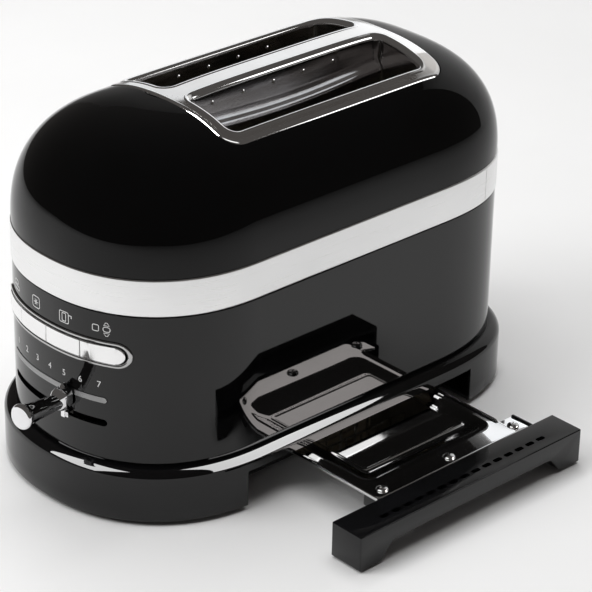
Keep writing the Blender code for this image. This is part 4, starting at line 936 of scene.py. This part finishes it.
def icons():
    """Plain pictures above the keys: a plate, a frozen slice, a filled slice and a ring roll."""
    line = 0.42 * MM
    z = 112.3 * MM
    slice_outline = rounded_box((0, 0), 6.4 * MM, 6.6 * MM, 1.3 * MM, 5)
    bm = bmesh.new()
    strip_loop(bm, rounded_box((0, -1.6 * MM), 7.6 * MM, 2.2 * MM, 1.0 * MM, 5), line)
    strip_loop(bm, rounded_box((0, 1.6 * MM), 4.4 * MM, 2.4 * MM, 1.0 * MM, 5), line)
    place_print(bm, "keep_warm_sign", -32.5 * MM, z)
    bm = bmesh.new()
    strip_loop(bm, slice_outline, line)
    for turn in (0, 60, 120):
        angle = math.radians(turn)
        reach = 1.9 * MM
        corner = Vector((math.cos(angle), math.sin(angle))) * reach
        side = Vector((-math.sin(angle), math.cos(angle))) * 0.22 * MM
        outline = [corner + side, -corner + side, -corner - side, corner - side]
        bm = merged(bm, extruded([(p.x, p.y) for p in outline], -PRINT_THICKNESS / 2, PRINT_THICKNESS / 2))
    place_print(bm, "defrost_sign", -9.6 * MM, z)
    bm = bmesh.new()
    strip_loop(bm, rounded_box((0, 0), 6.4 * MM, 6.4 * MM, 0.9 * MM, 4), line)
    strip_loop(bm, rounded_box((0, 0), 2.6 * MM, 4.6 * MM, 0.5 * MM, 4), line)
    handle = [(3.2, 2.2), (5.4, 2.2), (5.4, 0.6), (4.9, 0.6), (4.9, 1.7), (3.2, 1.7)]
    bm = merged(bm, extruded([(x * MM, y * MM) for x, y in handle], -PRINT_THICKNESS / 2, PRINT_THICKNESS / 2))
    place_print(bm, "sandwich_sign", 13.3 * MM, z)
    bm = bmesh.new()
    strip_loop(bm, rounded_box((-3.2 * MM, 0), 3.4 * MM, 3.6 * MM, 0.8 * MM, 5), line)
    strip_loop(bm, rounded_box((2.6 * MM, 0), 3.6 * MM, 2.8 * MM, 1.35 * MM, 6), line)
    for way in (-1, 1):
        strip_loop(bm, arrow_outline(2.6 * MM, way), line)
    place_print(bm, "bagel_sign", 36.3 * MM, z)


LEVER_ANGLE = math.radians(9.04)
KNOB_TILT = math.radians(6.0)
KNOB_Z = 65.0 * MM


def lever():
    """Smoked mirror moulding: a hub over the slot and scale, a pointer, and a tapered knob."""
    axis_y = WALL_LOW.y + 95.5 * MM
    axis = Matrix.Translation((0, axis_y, 0))
    turn = axis @ Matrix.Rotation(LEVER_ANGLE, 4, "Z") @ Matrix.Translation((0, -axis_y, 0))
    wall = WALL_LOW.y
    face = wall - 1.3 * MM
    hub = bmesh.new()
    rings = []
    for out, grow, low, high in (
        (0.0, -0.8, 61.0, 72.6), (-2.0, -0.1, 60.2, 73.0), (-5.0, 0.0, 60.0, 73.0), (-7.6, -0.5, 60.8, 72.2),
        (-9.3, -1.5, 62.4, 70.6), (-10.2, -2.6, 64.2, 68.8), (-10.5, -3.8, 65.8, 67.2),
    ):
        radius = (4.2 + grow * 0.95) * MM * 0.98
        outline = rounded_box((0, (low + high) / 2 * MM), (10.0 + 2 * grow) * MM, (high - low) * MM, radius, 6)
        rings.append([(x, face + out * MM, z) for x, z in outline])
    loft(hub, rings, cap_start=True, cap_end=True)
    pointer = bmesh.new()
    rings = []
    for z, half, near, far in ((69.0, 3.2, -5.6, -0.6), (72.0, 2.4, -5.2, -0.6), (73.6, 1.5, -4.6, -0.7),
                               (74.6, 0.8, -3.8, -0.9), (75.0, 0.3, -3.0, -1.4)):
        radius = min(half, (far - near) / 2) * 0.9 * MM
        outline = rounded_box((0, (near + far) / 2 * MM), 2 * half * MM, (far - near) * MM, radius, 4)
        rings.append([(x, face + y, z * MM) for x, y in outline])
    loft(pointer, rings, cap_start=True, cap_end=True)
    profile = [(0.0, 37.6), (2.0, 37.6), (4.6, 37.45), (5.6, 37.3), (6.3, 37.05), (6.75, 36.6), (7.0, 36.0),
               (6.95, 35.5), (6.7, 35.0), (6.2, 34.6), (5.95, 33.9), (5.8, 32.0), (5.4, 28.0), (5.0, 23.0),
               (4.7, 18.0), (4.45, 13.0), (4.4, 9.5), (4.6, 7.0), (4.9, 5.5)]
    aim = Matrix.Translation((0, wall, KNOB_Z)) @ Matrix.Rotation(math.pi / 2 - KNOB_TILT, 4, "X")
    knob = turned(in_mm(profile), aim, 48)
    stem = block((-2.4 * MM, face - 2 * MM, LEVER_SLOT_Z - 1.5 * MM),
                 (2.4 * MM, wall + WALL + 3 * MM, LEVER_SLOT_Z + 1.5 * MM))
    neck = block((-1.3 * MM, face - 3.4 * MM, LEVER_SLOT_Z - 1.2 * MM), (1.3 * MM, face - 0.4 * MM, 63.0 * MM))
    bm = merged(hub, pointer, knob, stem, neck)
    bmesh.ops.transform(bm, matrix=turn, verts=bm.verts)
    piece("lever_knob", bm, SMOKED, "lever", ["browning_lever"], angle=38)


# ---------------------------------------------------------------- crumb tray

PAN_TOP = 20.0 * MM
PAN_SHEET = 0.8 * MM
PAN_FRONT = PAN_HIGH.x
PAN_REAR = PAN_LOW.x
PAN_NEAR = PAN_LOW.y
PAN_FAR = PAN_NEAR + 107.4 * MM
WING_X = PAN_FRONT - 14.8 * MM
WING_Y = PAN_HIGH.y


def pan_loop(rear, front, near, far, z, radius):
    low_x, high_x = PAN_REAR + rear * MM, PAN_FRONT - front * MM
    low_y, high_y = PAN_NEAR + near * MM, PAN_FAR - far * MM
    outline = rounded_box(((low_x + high_x) / 2, (low_y + high_y) / 2), high_x - low_x, high_y - low_y, radius * MM, 8, 6)
    return [(x, y, PAN_TOP + z * MM) for x, y in outline]


def pan_skin():
    """Pressed pan: rolled outer lip, level rim, eased slopes and a flat floor."""
    lip_roll = ((0.4, -1.6, 2.6), (0.0, -1.1, 3.0), (0.0, -0.3, 3.0), (0.15, 0.0, 2.9), (0.5, 0.14, 2.7),
                (1.0, 0.08, 2.6), (1.5, 0.0, 2.8))
    rings = [pan_loop(inset, inset, inset, inset, z, radius) for inset, z, radius in lip_roll]
    lip, floor = (5.0, 12.0, 5.0, 5.0, 9.0), (14.0, 30.0, 18.5, 10.5, 2.5)
    steps = 14
    for step in range(steps + 1):
        share = step / steps
        ease = min(max((share - 0.06) / 0.88, 0.0), 1.0)
        drop = 4.0 * (ease - 0.06 * math.sin(2 * math.pi * ease))
        values = [a + (b - a) * share for a, b in zip(lip, floor)]
        rings.append(pan_loop(*values[:4], -drop, values[4]))
    for inset, rise in ((0.35, 0.28), (0.8, 0.34), (1.3, 0.2), (1.9, 0.0), (2.6, 0.0), (3.4, 0.0)):
        rings.append(pan_loop(*(v + inset for v in floor[:4]), -4.0 + rise, floor[4]))
    bm = bmesh.new()
    loft(bm, rings, cap_end=True)
    wing_middle = ((WING_X + PAN_FRONT) / 2, (PAN_FAR + WING_Y) / 2 - 1.5 * MM)
    wing = rounded_box(wing_middle, PAN_FRONT - WING_X - 0.2 * MM, WING_Y - PAN_FAR + 3 * MM, 1.6 * MM, 5)
    flange = extruded(wing, PAN_TOP - 0.65 * MM, PAN_TOP - 0.1 * MM)
    shank = [(1.9 * MM, -0.01), (1.9 * MM, 0.01)]
    holes = [cutter(f"pan_hole_{i}", turned(shank, Matrix.Translation((x, y, PAN_TOP)), 20))
             for i, (x, y) in enumerate(screw_places())]
    pan = piece("pan_sheet", bm, PAN_STEEL, "tray", ["crumb_tray"], angle=50,
                modifiers=[("SOLIDIFY", {"thickness": PAN_SHEET * 0.75, "offset": 1.0})] + [cut(h) for h in holes])
    wing_piece = piece("pan_wing", flange, PAN_STEEL, "tray",
                       modifiers=[bevelled(0.2 * MM, 2), cut(holes[-1])])
    rim_low, rim_high = PAN_REAR + 4 * MM, WING_X + 2 * MM
    y = PAN_FAR - 1.2 * MM
    section = in_mm([(-1.1, 0.0), (-0.75, 0.25), (-0.5, 0.8), (-0.42, 1.5), (-0.3, 2.1), (0.0, 2.35), (0.3, 2.1),
                     (0.38, 1.5), (0.3, 0.8), (0.3, -0.3)])
    turned_up = [(y + out, PAN_TOP + up) for out, up in section]
    bm = bmesh.new()
    steps = 36
    rings = []
    for i in range(steps + 1):
        share = i / steps
        x = rim_low + (rim_high - rim_low) * share
        edge = min(x - rim_low, rim_high - x)
        height = math.sqrt(max(1 - (1 - min(edge / (4 * MM), 1.0)) ** 2, 0.0))
        rings.append([
            (x, py, PAN_TOP + (pz - PAN_TOP) * (height if pz > PAN_TOP else 1.0)) for py, pz in turned_up
        ])
    loft(bm, rings, cap_start=True, cap_end=True)
    rim = piece("pan_rim", bm, PAN_STEEL, "tray", angle=40)
    return [pan, wing_piece, rim]


def screw_places():
    places = []
    for index in (1, 2, 3):
        low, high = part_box(f"tray_screw_{index}")
        places.append(((low.x + high.x) / 2, (low.y + high.y) / 2))
    return places


def screws():
    """Pan-head cross screws."""
    heads = []
    profile = in_mm([(1.45, -6.2), (1.45, 0.0), (3.2, 0.0), (3.4, 0.2), (3.4, 0.7), (3.1, 1.15), (2.5, 1.55),
                     (1.7, 1.85), (0.8, 1.98), (0.0, 2.0)])
    for index, (x, y) in enumerate(screw_places(), 1):
        base = PAN_TOP + 0.25 * MM
        place = Matrix.Translation((x, y, base)) @ Matrix.Rotation(0.4 + index * 1.1, 4, "Z")
        head = turned(profile, place, 32)
        arms = in_mm([(1.75, 0.34), (0.34, 1.75)])
        cross = merged(*(block((-a, -b, 0.9 * MM), (a, b, 3 * MM)) for a, b in arms))
        bmesh.ops.transform(cross, matrix=place, verts=cross.verts)
        tool = cutter(f"cross_{index}", cross)
        tool_modifier = ("BOOLEAN", {"object": tool, "operation": "DIFFERENCE", "solver": "EXACT", "use_self": True})
        heads.append(piece(f"tray_screw_head_{index}", head, SCREW_STEEL, "tray", [f"tray_screw_{index}"],
                           angle=40, modifiers=[tool_modifier]))
    return heads


ARCH_LEG = 13.9 * MM
ARCH_RISE = 9.6 * MM
ARCH_EASE = 12.0 * MM
VENT_COUNT = 15
VENT_PITCH = 8.57 * MM
HANDLE_WALL = 2.5 * MM


def handle():
    """Gloss handle: softened edges, eased arch below, a row of vents and a hollow back."""
    middle_y = (HANDLE_LOW.y + HANDLE_HIGH.y) / 2
    half_y = (HANDLE_HIGH.y - HANDLE_LOW.y) / 2
    outer = HANDLE_HIGH.x
    inner = outer - 21.8 * MM
    low, top = HANDLE_LOW.z, HANDLE_HIGH.z
    half = half_y - ARCH_LEG
    points = []
    for step in range(19):
        share = step / 18
        points.append((half - ARCH_EASE * share, ARCH_RISE * (0.5 - 0.5 * math.cos(math.pi * share))))
    right = [(half, -20 * MM), *points]
    left = [(-y, z) for y, z in right[::-1]]
    outline = [(middle_y + y, low + z) for y, z in right[1:] + left[:-1]]
    outline = [(HANDLE_LOW.y, low), (HANDLE_LOW.y, top), (HANDLE_HIGH.y, top), (HANDLE_HIGH.y, low)] + outline
    body = extruded(outline, inner, outer, "X")
    pocket = cutter("pocket", block(
        (inner - 5 * MM, HANDLE_LOW.y + HANDLE_WALL, low + ARCH_RISE + HANDLE_WALL),
        (outer - HANDLE_WALL, HANDLE_HIGH.y - HANDLE_WALL, top - HANDLE_WALL)))
    vents = bmesh.new()
    for index in range(VENT_COUNT):
        y = middle_y + (index - (VENT_COUNT - 1) / 2) * VENT_PITCH
        vent = extruded(rounded_box((outer - 7.9 * MM, y), 3 * MM, 6 * MM, 1.2 * MM, 4), top - 6 * MM, top + 5 * MM)
        vents = merged(vents, vent)
    holes = cutter("vents", vents)
    grip = piece("handle_body", body, HANDLE_BLACK, "tray", ["tray_handle"], angle=30,
                 modifiers=[bevelled(0.8 * MM, 4, 25), cut(pocket), cut(holes)])
    supports = []
    for x, y in screw_places():
        supports.append(block((x - 4.5 * MM, y - 4.5 * MM, low + ARCH_RISE + 0.4 * MM),
                              (inner + 4 * MM, y + 4.5 * MM, PAN_TOP - 1.1 * MM)))
    for near, far, high in (
        (PAN_NEAR + 3 * MM, PAN_NEAR + 6.5 * MM, PAN_TOP - 1.8 * MM),
        (WING_Y + 0.4 * MM, WING_Y + 2.4 * MM, PAN_TOP + 0.6 * MM),
    ):
        supports.append(block((inner - 16 * MM, near, 8.8 * MM), (inner + 1.6 * MM, far, high)))
    piece("handle_bosses", merged(*supports), HANDLE_BLACK, "tray",
          modifiers=[bevelled(0.5 * MM, 2)])
    return grip


# ---------------------------------------------------------------- feet, gland, chamber


def feet():
    profile = in_mm([(0.0, 0.0), (5.2, 0.0), (5.4, 0.3), (5.8, 0.35), (6.0, 0.0), (8.2, 0.0), (8.75, 0.25),
                     (9.0, 0.8), (9.0, 2.6), (0.0, 2.6)])
    for corner in ("front_left", "front_right", "rear_left", "rear_right"):
        low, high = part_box("foot_" + corner)
        place = Matrix.Translation(((low.x + high.x) / 2, (low.y + high.y) / 2, low.z))
        piece("foot_pad_" + corner, turned(profile, place, 40), RUBBER, "casing", ["foot_" + corner])


def gland():
    profile = in_mm([(0.0, 3.9), (4.6, 3.9), (5.0, 3.6), (5.2, 3.1), (7.2, 2.6), (7.8, 2.1), (8.0, 1.4), (8.0, 0.4),
                     (6.0, 0.3), (6.0, -6.3), (0.0, -6.3)])
    piece("inlet_gland", turned(profile, gland_place(), 40), RUBBER, "casing", ["cord_gland"])


def wire_guides():
    """Bread guides: a bright wire loop crossed by upright wires."""
    radius = 0.8 * MM
    for name in ("left_outer", "left_inner", "right_inner", "right_outer"):
        low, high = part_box("bread_guide_" + name)
        x = (low.x + high.x) / 2
        near, far, bottom, top = low.y + radius, high.y - radius, low.z + radius, high.z - radius
        loop = rounded_box(((near + far) / 2, (bottom + top) / 2), far - near, top - bottom, 3 * MM, 5)
        bm = bmesh.new()
        wire(bm, [(x, y, z) for y, z in loop], radius, closed=True)
        for i in range(1, 12):
            y = near + (far - near) * i / 12
            part = bmesh.new()
            wire(part, [(x, y, bottom), (x, y, top)], radius * 0.85)
            bm = merged(bm, part)
        piece("guide_wires_" + name, bm, WIRE, "guide_" + name, ["bread_guide_" + name])


def carried_over():
    """Give every CAD node that still shows its own finish."""
    choice = {
        "bottom_plate": MATT_BLACK, "lift_carriage": MATT_BLACK, "lift_pinion": MATT_BLACK,
        "slider_carriage": MATT_BLACK, "tray_rail_front": MATT_BLACK, "tray_rail_rear": MATT_BLACK,
        "control_board": BOARD, "power_board": BOARD,
    }
    for name, node in frame["nodes"].items():
        if node.hide_render:
            continue
        if name.endswith("_card"):
            finish_of = MICA
        elif name.endswith("_winding"):
            finish_of = NICHROME
        elif name.endswith("_switch"):
            finish_of = MATT_BLACK
        elif name.startswith("bread_rack"):
            finish_of = WIRE
        else:
            finish_of = choice.get(name, ZINC)
        node.data.materials.clear()
        node.data.materials.append(finish_of)


# ---------------------------------------------------------------- stage, light and camera


def stage():
    floor = Nodes("pale_floor")
    drift = floor.noise(3.0)
    floor.link(floor.ramp(drift, (0.8, 0.8, 0.8), (0.83, 0.83, 0.83)), floor.shader.inputs["Base Color"])
    floor.link(floor.ramp(drift, 0.6, 0.75), floor.shader.inputs["Roughness"])
    floor.set(Specular_IOR_Level=0.1)
    flat = [[(-1.9, y, 0.0), (1.9, y, 0.0)] for y in (-1.9, 1.9)]
    sweep = [[(-3.4, 1.3, 0.0), (0.55, 1.3, 0.0)]]
    for turn in range(10, 91, 10):
        angle = math.radians(turn)
        y, z = 1.3 + 0.4 * math.sin(angle), 0.4 * (1 - math.cos(angle))
        sweep.append([(-3.4, y, z), (0.55, y, z)])
    sweep.append([(-3.4, 1.7, 1.9), (0.55, 1.7, 1.9)])
    for name, rings in (("floor", flat), ("backdrop", sweep)):
        bm = bmesh.new()
        loft(bm, rings, closed=False)
        made = mesh_object(name, bm)
        made.data.shade_smooth()
        made.data.materials.append(floor.material)


def softbox(name, place, target, size, power, colour=(1, 1, 1), long_side=(0, 0, 1), seen_by="diffuse"):
    """A soft rectangular lamp; seen_by tells whether it lights matt surfaces or shows in glossy ones."""
    light = bpy.data.lights.new(name, "AREA")
    light.shape = "RECTANGLE"
    light.size, light.size_y = size
    light.energy = power
    light.color = colour
    made = bpy.data.objects.new(name, light)
    back = (Vector(place) - Vector(target)).normalized()
    along = Vector(long_side)
    along = (along - back * along.dot(back)).normalized()
    turn = Matrix((along, back.cross(along), back)).transposed().to_4x4()
    made.matrix_world = Matrix.Translation(place) @ turn
    made.visible_camera = False
    made.visible_glossy = seen_by != "diffuse"
    made.visible_diffuse = seen_by != "glossy"
    bpy.context.scene.collection.objects.link(made)
    return made


def light_only(light, pieces):
    """A card that only the named pieces reflect, as a flagged lamp does in a studio."""
    group = bpy.data.collections.new(light.name + "_lit")
    for made in pieces:
        group.objects.link(made)
    light.light_linking.receiver_collection = group


def card(name, pieces, centre, azimuth, elevation, distance, size, radiance, colour=(1, 1, 1)):
    """A lamp seen only in glossy pieces, placed by the direction it is seen in."""
    turn, rise = math.radians(azimuth), math.radians(elevation)
    way = Vector((math.cos(rise) * math.cos(turn), math.cos(rise) * math.sin(turn), math.sin(rise)))
    place = Vector(centre) + way * distance
    power = radiance * math.pi * size[0] * size[1]
    made = softbox(name, place, centre, size, power, colour, way.cross((0, 0, 1)), seen_by="glossy")
    light_only(made, pieces)
    return made


STRIP_RADIANCE = 17  # of the two strips that draw the line along the base's shoulder


def lighting(chrome, throats, studs, plinth, pans, heads, grip):
    world = bpy.data.worlds.new("studio")
    world.use_nodes = True
    shade = world.node_tree.nodes["Background"]
    shade.inputs["Color"].default_value = (0.92, 0.86, 0.82, 1)
    shade.inputs["Strength"].default_value = 0.09
    bpy.context.scene.world = world
    softbox("overhead", (-0.2, 0.05, 1.9), (0, 0, 0), (1.8, 1.8), 30)
    softbox("key_left", (-0.95, 0.5, 1.4), (0, 0, 0.05), (0.8, 0.8), 5)
    softbox("fill_front", (-0.5, -1.25, 1.3), (0.0, -0.2, 0), (1.0, 1.0), 17)
    edge, tray = chrome[1], pans + heads
    top = (0, 0, FRAME_HIGH.z)
    card("card_back", chrome + tray, top, 135, 17, 1.5, (1.1, 0.88), 0.85, (0.94, 0.97, 1.0))
    card("card_high", chrome, top, 98, 29, 1.3, (0.6, 0.34), 0.16, (1.0, 0.93, 0.88))
    card("card_edge", chrome, top, 47, 11, 0.9, (0.3, 0.22), 2.6)
    card("card_corner", [edge], top, -15, 46, 0.9, (0.9, 0.3), 1.4)
    card("card_studs", studs, top, 60, 35, 0.9, (0.9, 0.8), 2.2)
    card("card_low", throats, top, 47, 16, 0.9, (0.26, 0.3), 0.7, (0.9, 0.95, 1.0))
    card("card_throat", throats, top, 70, 58, 1.0, (0.9, 0.5), 0.32, (0.9, 0.95, 1.0))
    card("card_tray", tray, (0.13, 0, 0.02), 43, 27, 0.8, (0.5, 0.34), 5, (1.0, 0.94, 0.92))
    card("card_handle", [grip], (0.165, 0, 0.035), 52, 41, 0.8, (0.5, 0.1), 4)
    card("card_heads", heads, (0.13, 0, 0.02), -90, 50, 0.8, (0.9, 0.6), 1.6)
    left = card("strip_left", [plinth, edge], (0.035, -0.148, 0.03), -111, 39, 0.9, (0.68, 0.9), STRIP_RADIANCE)
    right = softbox("strip_right", (0.345, 0.105, 0.3), (0.08, 0.01, 0.03), (0.66, 0.37),
                    STRIP_RADIANCE * math.pi * 0.244, long_side=(0.51, 0, -0.42), seen_by="glossy")
    for strip in (left, right):
        strip.data.cycles.max_bounces = 1
    light_only(right, [plinth])


def camera():
    data = bpy.data.cameras.new("camera")
    data.sensor_fit = "HORIZONTAL"
    data.sensor_width = 36.0
    data.lens = 2625.25 / 592 * data.sensor_width  # focal length and width of the photograph, in its pixels
    data.clip_end = 20.0
    yaw, pitch, roll = (math.radians(v) for v in (46.476, 27.268, 1.224))
    ahead = Vector((-math.sin(yaw) * math.cos(pitch), math.cos(yaw) * math.cos(pitch), -math.sin(pitch)))
    right = Vector((math.cos(yaw), math.sin(yaw), 0))
    up = right.cross(ahead)
    x_axis = math.cos(roll) * right + math.sin(roll) * up
    y_axis = -math.sin(roll) * right + math.cos(roll) * up
    made = bpy.data.objects.new("camera", data)
    turn = Matrix((x_axis, y_axis, -ahead)).transposed().to_4x4()
    made.matrix_world = Matrix.Translation((0.97173, -0.89142, 0.74975)) @ turn
    bpy.context.scene.collection.objects.link(made)
    bpy.context.scene.camera = made


dome_skin()
frame_pieces = slot_frame()
throat_pieces, stud_pieces = slot_liners()
wall_skin()
bands()
plinth_piece = plinth_skin()
bezel()
keys()
track_and_print()
lever()
pan_pieces = pan_skin()
screw_pieces = screws()
handle_piece = handle()
feet()
gland()
wire_guides()
remove_cutters()
carried_over()
stage()
lighting(frame_pieces, throat_pieces, stud_pieces, plinth_piece, pan_pieces, screw_pieces, handle_piece)
camera()

bpy.context.scene.view_settings.view_transform = "Standard"
bpy.context.view_layer.update()
